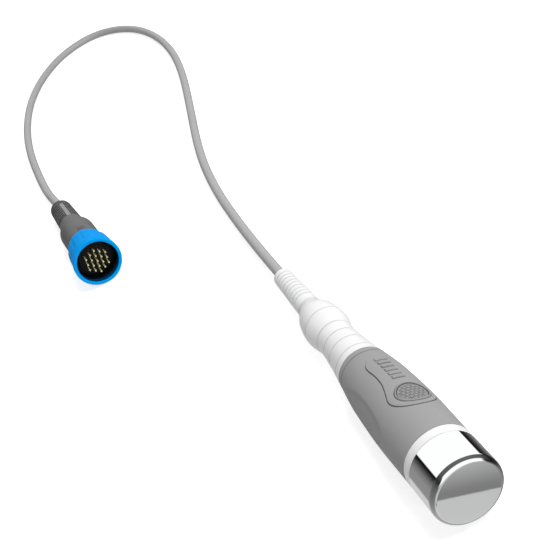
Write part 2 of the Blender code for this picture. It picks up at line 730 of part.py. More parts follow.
def make_sleeve():
    start = COLLAR_END_AT + GAP / 2
    end = SLEEVE_END_AT - GAP / 2
    inner = stretch(through(start, end, 5, BELLY_AT, FLANK_AT), handle_radius, -SLEEVE_THICKNESS)
    sleeve = turned("grip_sleeve", sleeve_outline(), inner, SLEEVE_GREY, HANDLE)
    sunk = -SLEEVE_THICKNESS / 2
    high = BELLY_RADIUS * 1.5
    low = SLEEVE_END_RADIUS / 2

    half = panel_half_outline()
    outline = half + [(place, -width) for place, width in half[:0:-1]]
    tail_end = half[-1][0]
    panel = skin("panel_skin", PANEL_FRONT_AT - THROUGH, tail_end - THROUGH / 2, 12, panel_rise,
                 lambda place: sunk)
    combine(panel, prism("panel_prism", outline, low, high, HANDLE), "INTERSECT")
    combine(sleeve, panel, "UNION")

    front = REST_AT - REST_LENGTH / 2
    rear = REST_AT + REST_LENGTH / 2
    rest = skin("rest_skin", front - THROUGH, rear + THROUGH, 5,
                lambda place: PANEL_RISE + REST_RISE, lambda place: sunk)
    oval = ellipse(REST_AT, REST_LENGTH, REST_WIDTH, MEDIUM)
    combine(rest, prism("rest_prism", oval, low, high, HANDLE), "INTERSECT")
    combine(sleeve, rest, "UNION")

    def dish_floor(place):
        share = (place - REST_AT) / (REST_LENGTH / 2)
        return PANEL_RISE + REST_RISE - REST_DISH_DEPTH * (1.0 - share * share / 2)

    dish = skin("dish_skin", front - THROUGH, rear + THROUGH, 7, lambda place: THROUGH * 3, dish_floor)
    inside = ellipse(REST_AT, REST_LENGTH - 2 * REST_RIM, REST_WIDTH - 2 * REST_RIM, MEDIUM)
    combine(dish, prism("dish_prism", inside, low, high, HANDLE), "INTERSECT")
    combine(sleeve, dish, "DIFFERENCE")


# The housing, with what it holds

def make_housing():
    core_places = through(COLLAR_END_AT + GAP / 2, SLEEVE_END_AT + GAP / 2, 5, BELLY_AT, FLANK_AT)
    throat = BOOT_NECK_RADIUS + GAP
    outer = stretch(core_places, core_radius) + housing_outline()
    inner = (stretch(core_places, core_radius, -CORE_WALL)
             + [(SLEEVE_END_AT + CORE_WALL, REAR_BORE), (REAR_BORE_END_AT, REAR_BORE),
                (REAR_BORE_END_AT, throat), (HOUSING_END_AT - GAP / 2, throat)])
    turned("housing", outer, inner, WHITE, HANDLE, MEDIUM)


def make_board():
    half_thickness = BOARD_THICKNESS / 2
    half_width = math.sqrt((REAR_BORE - GAP) ** 2 - half_thickness ** 2)
    top = half_thickness + GAP
    box("matching_board", (-half_thickness, -half_width, BOARD_START_AT),
        (half_thickness, half_width, BOARD_END_AT), BOARD_GREEN, HANDLE)
    coil = sleeve_of("tuning_coil", 0.0, COIL_HEIGHT, COIL_RADIUS, COIL_HOLE, COPPER, HANDLE, COARSE)
    coil.location = (top, 0.0, COIL_AT)
    coil.rotation_euler = (0.0, math.pi / 2, 0.0)
    box("tuning_capacitor", (top, -CAPACITOR_WIDTH / 2, CAPACITOR_AT - CAPACITOR_LENGTH / 2),
        (top + CAPACITOR_HEIGHT, CAPACITOR_WIDTH / 2, CAPACITOR_AT + CAPACITOR_LENGTH / 2),
        CAPACITOR_TAN, HANDLE)
    for number, side, mat in ((1, -1, RED_WIRE), (2, 1, BLACK_RUBBER)):
        on_board = top + LEAD_RADIUS
        across = side * LEAD_SPREAD
        flared = side * (LEAD_SPREAD + LEAD_FLARE)
        route = [(2 * on_board, flared, PLATE_END + GAP), (2 * on_board, flared, FLANGE_END),
                 (1.5 * on_board, across, (FLANGE_END + BOARD_START_AT) / 2),
                 (on_board, across, BOARD_START_AT), (on_board, across, BOARD_START_AT + LEAD_ON_BOARD)]
        curve_object(f"crystal_lead_{number}", [route_curve(route, LEAD_POINT_SPACING)], LEAD_RADIUS,
                     mat, HANDLE)


def make_boot():
    flange_end = REAR_BORE_END_AT - GAP
    flange_start = flange_end - BOOT_FLANGE_LENGTH
    flange = REAR_BORE - GAP
    neck_end = HOUSING_END_AT + GAP / 2
    outline = [(flange_start, flange), (flange_end, flange), (flange_end, BOOT_NECK_RADIUS),
               (neck_end, BOOT_NECK_RADIUS)] + boot_outline()
    turned("cable_boot", outline, None, WHITE, HANDLE, COARSE)
    turned("cable_tail", [(TAIL_START_AT, CABLE_RADIUS), (flange_start - GAP, CABLE_RADIUS)], None,
           CABLE_GREY, HANDLE, COARSE)
    sleeve_of("cable_clamp", CLAMP_AT, CLAMP_AT + CLAMP_LENGTH, flange, CABLE_RADIUS + GAP,
              NATURAL, HANDLE, COARSE)
    turned("cable_cores", [(BOARD_END_AT + GAP, CORES_RADIUS), (TAIL_START_AT - GAP, CORES_RADIUS)],
           None, RED_WIRE, HANDLE, SMALL)


# The plug

WEB_END = RING_BORE_DEPTH + RING_WEB_THICKNESS
CLIP_START = WEB_END + GAP
CLIP_END = CLIP_START + CLIP_THICKNESS
BARREL_END = RING_LENGTH + BARREL_THREAD
INSERT_END = BARREL_FRONT_AT + INSERT_THICKNESS
INSERT_RADIUS = BARREL_RADIUS - BARREL_WALL - GAP
THROAT_START = SHELL_END_AT - SHELL_THROAT_LENGTH
PLUG_BOOT_FLANGE_END = THROAT_START - GAP
PLUG_BOOT_FLANGE_START = PLUG_BOOT_FLANGE_END - PLUG_BOOT_FLANGE_LENGTH


def make_coupling_ring():
    """The ring turns on the barrel. Its origin is on the plug's axis, at the rim."""
    web_bore = BARREL_RADIUS + GAP
    inner = [(0.0, RING_BORE + RING_EDGE_ROUND), (RING_EDGE_ROUND, RING_BORE), (RING_BORE_DEPTH, RING_BORE),
             (RING_BORE_DEPTH, web_bore), (WEB_END, web_bore), (WEB_END, RING_REAR_BORE),
             (RING_LENGTH, RING_REAR_BORE)]
    ring = turned("coupling_ring", ring_outline(), inner, BLUE, PLUG, MEDIUM)
    ring.rotation_euler = (0.0, 0.0, -PLUG_ROLL)
    lift = RING_FLUTE_RADIUS - RING_FLUTE_DEPTH
    start = RING_LIP_LENGTH + RING_FLUTE_DEPTH + RING_FLUTE_RADIUS
    paths = []
    for turn in np.arange(RING_FLUTES) * math.tau / RING_FLUTES:
        line = stretch(np.linspace(start, RING_LENGTH + THROUGH + RING_FLUTE_RADIUS, 6), ring_radius, lift)
        paths.append([(r * math.cos(turn), r * math.sin(turn), place) for place, r in line])
    flutes = curve_object("ring_flutes", paths, RING_FLUTE_RADIUS, None, PLUG, CUTTERS, FLUTE_STEPS)
    flutes.rotation_euler = ring.rotation_euler
    combine(ring, as_helper(as_mesh(flutes)), "DIFFERENCE")


def make_barrel():
    bore = INSERT_RADIUS + GAP
    groove = BARREL_RADIUS - CLIP_GRIP
    flange = RING_BORE - GAP
    flange_end = RING_BORE_DEPTH - GAP
    flange_start = flange_end - BARREL_FLANGE_THICKNESS
    outer = [(BARREL_FRONT_AT, BARREL_RADIUS), (flange_start, BARREL_RADIUS), (flange_start, flange),
             (flange_end, flange), (flange_end, BARREL_RADIUS), (CLIP_START - GAP, BARREL_RADIUS),
             (CLIP_START - GAP, groove), (CLIP_END + GAP, groove), (CLIP_END + GAP, BARREL_RADIUS),
             (BARREL_END, BARREL_RADIUS)]
    inner = [(BARREL_FRONT_AT, bore), (INSERT_END + GAP, bore), (INSERT_END + GAP, bore - BARREL_SHOULDER),
             (BARREL_END, bore - BARREL_SHOULDER)]
    turned("plug_barrel", outer, inner, BLACK, PLUG, SOFT)
    clip = sleeve_of("ring_clip", CLIP_START, CLIP_END, RING_REAR_BORE - GAP, groove + GAP, STEEL,
                     PLUG, MEDIUM)
    opening = box("clip_opening", (-BARREL_RADIUS * 2, -CLIP_OPENING / 2, CLIP_START - THROUGH),
                  (0.0, CLIP_OPENING / 2, CLIP_END + THROUGH), None, PLUG, CUTTERS)
    combine(clip, as_helper(opening), "DIFFERENCE")


def pin_places():
    """Middles of the pins, in rows that stand on the gaps of their neighbours."""
    row_step = PIN_PITCH * math.sqrt(3) / 2
    turn = Matrix.Rotation(PIN_FIELD_TURN, 2)
    places = []
    for row, count in enumerate(PIN_ROWS):
        up = ((len(PIN_ROWS) - 1) / 2 - row) * row_step
        for column in range(count):
            across = (column - (count - 1) / 2) * PIN_PITCH
            places.append(turn @ Vector((up, across)))
    return places


def make_contacts():
    insert = turned("pin_insert", [(BARREL_FRONT_AT, INSERT_RADIUS), (INSERT_END, INSERT_RADIUS)], None,
                    BLACK, PLUG, MEDIUM)
    hole = PIN_TIP_RADIUS + GAP
    paths = [[(x, y, BARREL_FRONT_AT - THROUGH), (x, y, INSERT_END + THROUGH)] for x, y in pin_places()]
    holes = curve_object("pin_holes", paths, hole, None, PLUG, CUTTERS)
    combine(insert, as_helper(as_mesh(holes)), "DIFFERENCE")
    tip = PIN_TIP_RADIUS
    outline = [(0.0, tip / 2), (tip / 2, tip), (1.5 * tip, tip), (2 * tip, PIN_RADIUS),
               (INSERT_END + PIN_TAIL - PIN_TIP_AT, PIN_RADIUS)]
    first = turned("contact_pin_01", outline, None, GOLD, PLUG, SMALL)
    for number, (x, y) in enumerate(pin_places(), 1):
        if number == 1:
            pin = first
        else:
            pin = add(f"contact_pin_{number:02d}", first.data, None, PLUG)
            turn_round(pin, SMALL)
        pin.location = (x, y, PIN_TIP_AT)


def make_backshell():
    places = through(RING_LENGTH + GAP, SHELL_END_AT - GAP / 2, 9, SHELL_ROUND_AT)
    step = BARREL_END + GAP
    narrow = through(step, THROAT_START, 5, SHELL_ROUND_AT)
    inner = ([(RING_LENGTH + GAP, BARREL_RADIUS + GAP), (step, BARREL_RADIUS + GAP)]
             + stretch(narrow, shell_radius, -SHELL_WALL)
             + [(THROAT_START, SHELL_THROAT), (SHELL_END_AT - GAP / 2, SHELL_THROAT)])
    shell = turned("plug_backshell", stretch(places, shell_radius), inner, SHELL_GREY, PLUG, MEDIUM)

    spine_start = SHELL_END_AT - SPINE_THICKNESS
    line = np.linspace(spine_start, SPINE_END_AT, 3)
    layer = turned("spine_layer", stretch(line, plug_boot_radius, SPINE_PROUD),
                   stretch(line, plug_boot_radius, SPINE_PROUD - SPINE_THICKNESS), None, PLUG, FINE,
                   CUTTERS)
    strip = box("spine_strip", (0.0, -SPINE_WIDTH / 2, spine_start - THROUGH),
                (RING_RADIUS, SPINE_WIDTH / 2, SPINE_END_AT + THROUGH), None, PLUG, CUTTERS)
    combine(as_helper(layer), as_helper(strip), "INTERSECT")
    combine(shell, layer, "UNION")

    marks = []
    for mark in MARK_PLACES:
        front = mark - MARK_WIDTH / 2
        rear = mark + MARK_WIDTH / 2
        low = SHELL_RADIUS - MARK_DEPTH
        high = SHELL_RADIUS + THROUGH
        marks.append([(front, low), (rear, low), (rear, high), (front, high)])
    cuts = turn_round(add("mark_rings", outline_mesh("mark_rings", marks), None, PLUG, CUTTERS), MEDIUM)
    window = box("mark_window", (0.0, -MARK_LENGTH / 2, RING_LENGTH),
                 (RING_RADIUS, MARK_LENGTH / 2, SHELL_ROUND_AT), None, PLUG, CUTTERS)
    combine(as_helper(cuts), as_helper(window), "INTERSECT")
    combine(shell, cuts, "DIFFERENCE")


def make_plug_boot():
    neck_end = SHELL_END_AT + GAP / 2
    flange = shell_radius(THROAT_START) - SHELL_WALL - GAP
    neck = SHELL_THROAT - GAP
    outline = ([(PLUG_BOOT_FLANGE_START, flange), (PLUG_BOOT_FLANGE_END, flange),
                (PLUG_BOOT_FLANGE_END, neck), (neck_end, neck), (neck_end, plug_boot_radius(neck_end))]
               + plug_boot_end())
    boot = turned("plug_boot", outline, None, BOOT_GREY, PLUG, SOFT)

    floor = SPINE_PROUD - SPINE_THICKNESS - GAP
    line = np.linspace(SHELL_END_AT - THROUGH, SPINE_END_AT + GAP, 3)
    channel = turned("spine_channel", stretch(line, plug_boot_radius, THROUGH),
                     stretch(line, plug_boot_radius, floor), None, PLUG, FINE, CUTTERS)
    strip = box("channel_strip", (0.0, -SPINE_WIDTH / 2 - GAP, line[0] - THROUGH),
                (RING_RADIUS, SPINE_WIDTH / 2 + GAP, line[-1] + THROUGH), None, PLUG, CUTTERS)
    combine(as_helper(channel), as_helper(strip), "INTERSECT")
    combine(boot, channel, "DIFFERENCE")

    slots = []
    for slot in range(PLUG_BOOT_SLOTS):
        front = SLOT_START_AT + SLOT_PITCH * slot
        rear = front + SLOT_WIDTH
        deep = plug_boot_radius(front) - SLOT_DEPTH
        slots.append([(front, deep), (rear, deep), (rear, SHELL_RADIUS), (front, SHELL_RADIUS)])
    comb = turn_round(add("slot_comb", outline_mesh("slot_comb", slots), None, PLUG, CUTTERS), SOFT)
    keep = box("slot_keep", (-RING_RADIUS, -SLOT_SPINE / 2, SHELL_END_AT - THROUGH),
               (RING_RADIUS, SLOT_SPINE / 2, PLUG_LENGTH + THROUGH), None, PLUG, CUTTERS)
    combine(as_helper(comb), as_helper(keep), "DIFFERENCE")
    combine(boot, comb, "DIFFERENCE")


def make_plug_inside():
    clamp_radius = shell_radius(PLUG_CLAMP_AT) - SHELL_WALL - GAP
    sleeve_of("plug_clamp", PLUG_CLAMP_AT - PLUG_CLAMP_LENGTH / 2, PLUG_CLAMP_AT + PLUG_CLAMP_LENGTH / 2,
              clamp_radius, CABLE_RADIUS + GAP, NATURAL, PLUG, COARSE)
    turned("plug_tail", [(PLUG_TAIL_START_AT, CABLE_RADIUS), (PLUG_BOOT_FLANGE_START - GAP, CABLE_RADIUS)],
           None, CABLE_GREY, PLUG, COARSE)
    turned("plug_cores", [(INSERT_END + PIN_TAIL + GAP, PLUG_CORES_RADIUS),
                          (PLUG_TAIL_START_AT - GAP, PLUG_CORES_RADIUS)], None, RED_WIRE, PLUG, SMALL)


def make_cable():
    """The free cable: out of the handle's boot, round in one loose loop and into the plug's boot."""
    start = [HANDLE.matrix_world @ Vector((0, 0, BOOT_END_AT + GAP + run)) for run in (0.0, CABLE_EXIT_RUN)]
    end = [PLUG.matrix_world @ Vector((0, 0, PLUG_LENGTH + GAP + run)) for run in (CABLE_EXIT_RUN, 0.0)]
    low = CABLE_RADIUS + GROUND_GAP
    route = start + [Vector((x * MM, y * MM, low)) for x, y in CABLE_ROUTE] + end
    path = route_curve(route, POINT_SPACING * 2 * CABLE_RADIUS)
    path[:, 2] = np.maximum(path[:, 2], low)
    curve_object("cable", [path], CABLE_RADIUS, CABLE_GREY, None, None, CABLE_STEPS)


def main():
    make_cap()
    make_crystal_stack()
    make_collar()
    make_sleeve()
    make_housing()
    make_board()
    make_boot()
    make_coupling_ring()
    make_barrel()
    make_contacts()
    make_backshell()
    make_plug_boot()
    make_plug_inside()
    make_cable()
    bpy.context.view_layer.update()


main()
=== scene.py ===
"""Ultrasound therapy head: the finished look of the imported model.

Every piece is worked out in one of two axis frames. The handle's frame starts at the middle of
the treatment face and the plug's at the middle of its ring's rim. In both, z runs back along the
axis, x points up and is turned towards +X by the frame's roll, and y points to that side.
Places are measured along z, angles round it from x towards y, and lengths are in metres.
"""
import json
import math

import bmesh
import bpy
import numpy as np
from bpy.props import FloatProperty, FloatVectorProperty, IntProperty, PointerProperty
from mathutils import Matrix, Vector


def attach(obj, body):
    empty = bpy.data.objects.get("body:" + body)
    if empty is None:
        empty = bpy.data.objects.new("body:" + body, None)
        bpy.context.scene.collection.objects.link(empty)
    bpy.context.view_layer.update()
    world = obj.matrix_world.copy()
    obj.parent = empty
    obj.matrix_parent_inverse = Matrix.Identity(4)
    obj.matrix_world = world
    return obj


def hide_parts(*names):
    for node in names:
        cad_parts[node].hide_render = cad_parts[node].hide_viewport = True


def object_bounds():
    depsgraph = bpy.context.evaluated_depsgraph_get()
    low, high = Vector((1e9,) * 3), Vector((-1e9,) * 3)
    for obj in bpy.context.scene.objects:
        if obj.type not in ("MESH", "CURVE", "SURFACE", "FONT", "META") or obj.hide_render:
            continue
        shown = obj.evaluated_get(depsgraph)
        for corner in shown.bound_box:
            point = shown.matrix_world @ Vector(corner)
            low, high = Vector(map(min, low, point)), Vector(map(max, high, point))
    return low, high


bl_info = {
    "name": "Ultrasound therapy head",
    "version": (1, 0, 0),
    "blender": (4, 5, 0),
    "location": "3D View > Sidebar > Therapy head",
    "description": "Builds the finished surfaces, materials, cable and stage of an ultrasound therapy head",
    "category": "Object",
}

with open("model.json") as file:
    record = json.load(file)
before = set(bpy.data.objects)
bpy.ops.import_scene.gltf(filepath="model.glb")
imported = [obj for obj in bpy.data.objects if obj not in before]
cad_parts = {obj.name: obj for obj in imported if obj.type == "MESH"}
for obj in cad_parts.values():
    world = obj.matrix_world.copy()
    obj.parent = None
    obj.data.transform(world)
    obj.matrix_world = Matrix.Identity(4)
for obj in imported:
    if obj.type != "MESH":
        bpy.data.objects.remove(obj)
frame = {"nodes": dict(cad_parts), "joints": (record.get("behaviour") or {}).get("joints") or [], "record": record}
CAD_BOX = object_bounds()
TREATMENT_FACE = next(mount for mount in frame["record"]["mounts"] if mount["name"] == "treatment_face")
RING_JOINT = frame["joints"][0]
PINS = sorted(name for name in frame["nodes"] if name.startswith("contact_pin"))

MM = 0.001
MERGE_DISTANCE = 0.002 * MM
SHARP_ANGLE = math.radians(40.0)

# The cap's front rounding is this much longer along the side than across the face
RIM_STRETCH = 1.4

# Places along the handle, behind the treatment face
CAP_END = 20.25 * MM
SLEEVE_START = 25.65 * MM
SLEEVE_END = 101.65 * MM
HOUSING_START = 101.95 * MM
HOUSING_END = 167.85 * MM
HOUSING_GROOVES = np.array((106.9, 117.9, 127.1, 135.8, 148.1)) * MM
BOOT_START = 168.15 * MM
BOOT_GROOVES = (177.6 + 3.8 * np.arange(9)) * MM
BOOT_END = 212.6 * MM

# Half outline of the handle behind the collar: place, radius
HANDLE_LINE = np.array([(25.5, 17.0), (50.0, 17.3), (80.0, 16.1), (101.8, 13.5), (120.0, 11.3),
                        (133.0, 10.4), (147.5, 12.35), (157.5, 11.3), (168.0, 7.5)]) * MM

# On the sleeve: the panel's front half ellipse and its half widths behind it, the oval rest, the
# ladder of ribs, the scoops on both sides and the moulded line near the rear edge
PANEL_HEAD, PANEL_HALF_LENGTH, PANEL_HALF_WIDTH = 53.3 * MM, 10.5 * MM, 11.2 * MM
PANEL_FLANK = np.array([(43.0, 11.2), (53.3, 11.2), (57.6, 10.3), (62.0, 9.2), (66.8, 8.3), (72.0, 8.05),
                        (76.0, 8.15), (80.0, 8.5), (83.0, 8.3), (85.5, 7.3), (88.0, 5.0)]) * MM
REST_PLACE, REST_HALF_LENGTH, REST_HALF_WIDTH = 52.8 * MM, 7.5 * MM, 8.0 * MM
DOT_PITCH = 2.15 * MM
LADDER_START, LADDER_PITCH, LADDER_RIBS = 66.5 * MM, 3.7 * MM, 6
SCOOP_PLACE, SCOOP_HALF_LENGTH = 66.0 * MM, 24.0 * MM
SCOOP_ANGLE, SCOOP_HALF_ANGLE = math.radians(95.0), math.radians(28.0)
SLEEVE_LINE = 97.3 * MM

# Places along the plug, behind the ring's rim
SHELL_START = 30.3 * MM
SHELL_MARKS = np.array((33.6, 37.0)) * MM
PLUG_BOOT_START = 74.15 * MM
SLOT_START, SLOT_PITCH, SLOTS = 78.85 * MM, 3.7 * MM, 7
SPINE_END = 102.85 * MM
PLUG_ROUND_START = 109.0 * MM
PLUG_END = 112.6 * MM

# Half outlines of the plug's pieces: place, radius
RING_LINE = np.array([(3.6, 16.2), (9.0, 15.6), (22.0, 14.7), (30.0, 12.9)]) * MM
SHELL_LINE = np.array([(30.0, 12.3), (56.0, 12.3), (66.0, 10.2), (74.0, 9.0)]) * MM
PLUG_BOOT_LINE = np.array([(74.0, 8.8), (112.6, 7.8)]) * MM
PIN_ROWS = (3, 4, 5, 4, 3)

# The cable's route on the ground, in plan, from the handle's boot to the plug's
CABLE_ROUTE = np.array([(1.3, 188.0), (2.8, 223.0), (6.4, 262.0), (13.1, 303.0), (23.4, 347.0),
                        (35.7, 396.0), (47.3, 448.0), (54.2, 504.0), (51.0, 561.0), (35.0, 606.0),
                        (9.3, 629.0), (-18.8, 628.0), (-46.2, 608.0), (-69.3, 573.0), (-86.0, 526.0),
                        (-95.8, 472.0), (-99.3, 415.0), (-98.8, 370.0)]) * MM
CABLE_EXIT_RUN = 14.0 * MM
CABLE_PLAY = 0.12 * MM
GROUND_GAP = 0.05 * MM
BOOT_GAP = 0.3 * MM

# Painted shade from 0 to 1, which darkens grooves, slots and hollows, and on some pieces a flat
# darker tone, is carried by the meshes under this name
PAINTED_SHADE_AND_TONE = "recess"


# The sizes and colours that a user would change

class TherapyHeadSizes(bpy.types.PropertyGroup):
    """Sizes of the handle."""
    roll: FloatProperty(name="Panel turn", description="Turn of the thumb panel from straight up",
                        default=math.radians(25.5), subtype="ANGLE")
    cap_radius: FloatProperty(name="Cap radius", description="Radius of the metal cap",
                              default=17.0 * MM, unit="LENGTH")
    rim_round: FloatProperty(name="Rim round", description="Rounding between the treatment face and the cap's side",
                             default=2.1 * MM, unit="LENGTH")
    panel_rise: FloatProperty(name="Panel rise", description="How far the thumb panel stands off the sleeve",
                              default=0.22 * MM, unit="LENGTH")
    rest_rise: FloatProperty(name="Rest rim", description="How far the oval rest's rim stands off the panel",
                             default=0.4 * MM, unit="LENGTH")
    scoop_depth: FloatProperty(name="Finger scoop", description="Depth of the scoops on the sleeve's two sides",
                               default=1.1 * MM, unit="LENGTH")
    groove_depth: FloatProperty(name="Groove depth", description="Depth of the housing's five grooves",
                                default=0.4 * MM, unit="LENGTH")
    boot_ring_depth: FloatProperty(name="Boot ring depth", description="Depth of the grooves round the cable boot",
                                   default=0.7 * MM, unit="LENGTH")


class TherapyPlugSizes(bpy.types.PropertyGroup):
    """Sizes of the plug and the cable."""
    roll: FloatProperty(name="Spine turn", description="Turn of the plug's spine from straight up",
                        default=math.radians(15.0), subtype="ANGLE")
    flutes: IntProperty(name="Flutes", description="Number of grip flutes round the coupling ring", default=12)
    flute_depth: FloatProperty(name="Flute depth", description="Depth of the coupling ring's flutes",
                               default=0.35 * MM, unit="LENGTH")
    pin_pitch: FloatProperty(name="Pin pitch", description="Distance between neighbouring pins",
                             default=3.85 * MM, unit="LENGTH")
    pin_turn: FloatProperty(name="Pin field turn", description="Turn of the pins' rows from the spine",
                            default=math.radians(-33.8), subtype="ANGLE")
    pin_radius: FloatProperty(name="Pin radius", description="Radius of a contact pin's shaft",
                              default=0.44 * MM, unit="LENGTH")
    cable_radius: FloatProperty(name="Cable radius", description="Radius of the cable's jacket",
                                default=3.15 * MM, unit="LENGTH")


class TherapyHeadColours(bpy.types.PropertyGroup):
    """Colours of the finishes, as linear values."""
    metal: FloatVectorProperty(name="Metal", description="Polished cap", subtype="COLOR",
                               default=(0.93, 0.935, 0.935), min=0, max=1)
    white: FloatVectorProperty(name="White", description="Collar, housing and cable boot", subtype="COLOR",
                               default=(0.91, 0.91, 0.91), min=0, max=1)
    sleeve: FloatVectorProperty(name="Sleeve", description="Soft grip sleeve", subtype="COLOR",
                                default=(0.355, 0.355, 0.355), min=0, max=1)
    cable: FloatVectorProperty(name="Cable", description="Cable jacket", subtype="COLOR",
                               default=(0.44, 0.44, 0.44), min=0, max=1)
    ring: FloatVectorProperty(name="Ring", description="Coupling ring", subtype="COLOR",
                              default=(0.0, 0.36, 0.93), min=0, max=1)
    shell: FloatVectorProperty(name="Backshell", description="Plug backshell", subtype="COLOR",
                               default=(0.31, 0.31, 0.31), min=0, max=1)
    boot: FloatVectorProperty(name="Plug boot", description="Slotted boot of the plug", subtype="COLOR",
                              default=(0.15, 0.15, 0.15), min=0, max=1)
    gold: FloatVectorProperty(name="Pins", description="Contact pins", subtype="COLOR",
                              default=(0.92, 0.86, 0.46), min=0, max=1)


def sizes():
    """The handle's sizes, as the panel shows them."""
    return bpy.context.scene.therapy_head


def plug_sizes():
    """The plug's and the cable's sizes, as the panel shows them."""
    return bpy.context.scene.therapy_plug


def colours():
    """The finishes' colours, as the panel shows them."""
    return bpy.context.scene.therapy_colours


# Frames and curves

class AxisFrame:
    """A frame along a body's axis: z back along it, x up and turned by roll, y to the +X side."""

    def __init__(self, origin, back, roll):
        back = np.array(back, float)
        back /= np.linalg.norm(back)
        side = np.array((back[1], -back[0], 0.0))
        side /= np.linalg.norm(side)
        up = np.cross(side, back)
        x = up * math.cos(roll) + side * math.sin(roll)
        y = side * math.cos(roll) - up * math.sin(roll)
        self.origin = np.array(origin, float)
        self.turn = np.array((x, y, back))

    def world(self, points):
        """Row-frame places of points in this frame: the origin plus each coordinate times its direction."""
        return self.origin + np.asarray(points) @ self.turn

    def turned(self, s, r, angles):
        """Row-frame places of (r cos a, r sin a, s), where s and r are columns or grids of rows x angles."""
        s, r, a = np.broadcast_arrays(s, r, angles)
        return self.world(np.stack((r * np.cos(a), r * np.sin(a), s), -1))


def handle_axis():
    """The handle's frame, from the treatment face backwards."""
    return AxisFrame(TREATMENT_FACE["pos_m"], -np.array(TREATMENT_FACE["axis"]), sizes().roll)


def plug_axis():
    """The plug's frame, from the ring's rim backwards."""
    return AxisFrame(RING_JOINT["pos_m"], RING_JOINT["axis"], plug_sizes().roll)


def smooth(stations, places):
    """Values at places on a curve through stations that never overshoots them.

    Between two stations it is a cubic. Its slope at a station is the weighted harmonic mean of the
    straight slopes on both sides, or nought where these have opposite signs.
    """
    x, y = stations.T
    step = np.diff(x)
    slope = np.diff(y) / step
    tangent = np.zeros(len(x))
    same_way = slope[:-1] * slope[1:] > 0
    weight_a = 2 * step[1:] + step[:-1]
    weight_b = step[1:] + 2 * step[:-1]
    safe_a = np.where(same_way, slope[:-1], 1.0)
    safe_b = np.where(same_way, slope[1:], 1.0)
    tangent[1:-1] = np.where(same_way, (weight_a + weight_b) / (weight_a / safe_a + weight_b / safe_b), 0.0)
    tangent[0] = slope[0]
    tangent[-1] = slope[-1]
    places = np.clip(places, x[0], x[-1])
    k = np.clip(np.searchsorted(x, places) - 1, 0, len(step) - 1)
    u = (places - x[k]) / step[k]
    return (y[k] * (1 + 2 * u) * (1 - u) ** 2 + y[k + 1] * u * u * (3 - 2 * u)
            + step[k] * (tangent[k] * u * (1 - u) ** 2 - tangent[k + 1] * u * u * (1 - u)))


def step_up(value, low, high):
    """0 below low, 1 above high, and 3t^2 - 2t^3 between, where t is the share of the way."""
    t = np.clip((value - low) / (high - low), 0.0, 1.0)
    return t * t * (3 - 2 * t)


def hump(value, half_width):
    """1 in the middle, 0 beyond half_width, and (1 - t^2)^2 between, where t is value over half_width."""
    t = np.clip(np.abs(value) / half_width, 0.0, 1.0)
    return (1 - t * t) ** 2


def stretches(*runs):
    """Places in one array: each run is (start, end, spacing), and the last end is included."""
    parts = [np.linspace(a, b, max(2, int(round((b - a) / spacing)) + 1))[:-1] for a, b, spacing in runs]
    return np.concatenate([*parts, [runs[-1][1]]])


def quarter(place, radius, depth_along, depth_in, count):
    """A quarter of an ellipse that leads from an end face out to radius: count (place, radius) pairs.

    The place goes from place to place + depth_along as 1 - cos b, and the radius up to radius by
    depth_in sin b, where b goes from 0 to a right angle.
    """
    a = np.linspace(0, math.pi / 2, count)
    return np.stack((place + depth_along * (1 - np.sin(a)), radius - depth_in * (1 - np.cos(a))), 1)[::-1]


def full_turn(count):
    """Angles of count equal steps that go all the way round."""
    return np.linspace(0, math.tau, count, endpoint=False)


def denser_turn(half_angle, fine, coarse):
    """Angles from -pi to pi that are closer together on top: fine ones within half_angle, then coarse ones."""
    angles = np.concatenate([np.linspace(-half_angle, half_angle, fine, endpoint=False),
                             np.linspace(half_angle, math.tau - half_angle, coarse, endpoint=False)])
    return np.where(angles > math.pi, angles - math.tau, angles)


# Meshes

def grid_mesh(name, points, wrap_rows=False, recess=None):
    """A closed mesh from a grid of points, whose columns go round and join up.

    points has the shape rows x columns x 3. With wrap_rows the last row joins the first, and
    otherwise each end row is a pole or is closed with one face. Where the share of painted shade
    and darker tone is given, it is one number or has a shape that spreads over rows x columns,
    and the mesh carries it as a point attribute.
    """
    rows, columns = points.shape[:2]
    index = np.arange(rows * columns).reshape(rows, columns)
    lower = index if wrap_rows else index[:-1]
    upper = np.roll(index, -1, 0) if wrap_rows else index[1:]
    quads = np.stack((lower, np.roll(lower, -1, 1), np.roll(upper, -1, 1), upper), -1).reshape(-1, 4)
    faces = quads.tolist()
    if not wrap_rows:
        faces += [index[0][::-1].tolist(), index[-1].tolist()]
    mesh = bpy.data.meshes.new(name)
    mesh.from_pydata(points.reshape(-1, 3), [], faces)
    if recess is not None:
        layer = mesh.attributes.new(PAINTED_SHADE_AND_TONE, "FLOAT", "POINT")
        layer.data.foreach_set("value", np.broadcast_to(recess, (rows, columns)).astype(np.float32).ravel())
    shell = bmesh.new()
    shell.from_mesh(mesh)
    bmesh.ops.remove_doubles(shell, verts=shell.verts, dist=MERGE_DISTANCE)
    bmesh.ops.dissolve_degenerate(shell, edges=shell.edges, dist=MERGE_DISTANCE / 20)
    bmesh.ops.recalc_face_normals(shell, faces=shell.faces)
    shell.to_mesh(mesh)
    shell.free()
    mesh.shade_smooth()
    mesh.set_sharp_from_angle(angle=SHARP_ANGLE)
    return mesh


def lathe_mesh(name, axis, outline, steps, wrap_rows=False, recess=None):
    """A closed mesh: an outline of (place, radius) pairs that is carried round axis in equal steps."""
    points = axis.turned(outline[:, :1], outline[:, 1:], full_turn(steps))
    return grid_mesh(name, points, wrap_rows, recess)


def join_meshes(name, meshes):
    """One mesh of several, by adding them up in one shell."""
    shell = bmesh.new()
    for mesh in meshes:
        shell.from_mesh(mesh)
        bpy.data.meshes.remove(mesh)
    joined = bpy.data.meshes.new(name)
    shell.to_mesh(joined)
    shell.free()
    return joined


def add_object(name, data):
    """An object of data in the scene."""
    obj = bpy.data.objects.new(name, data)
    bpy.context.scene.collection.objects.link(obj)
    return obj


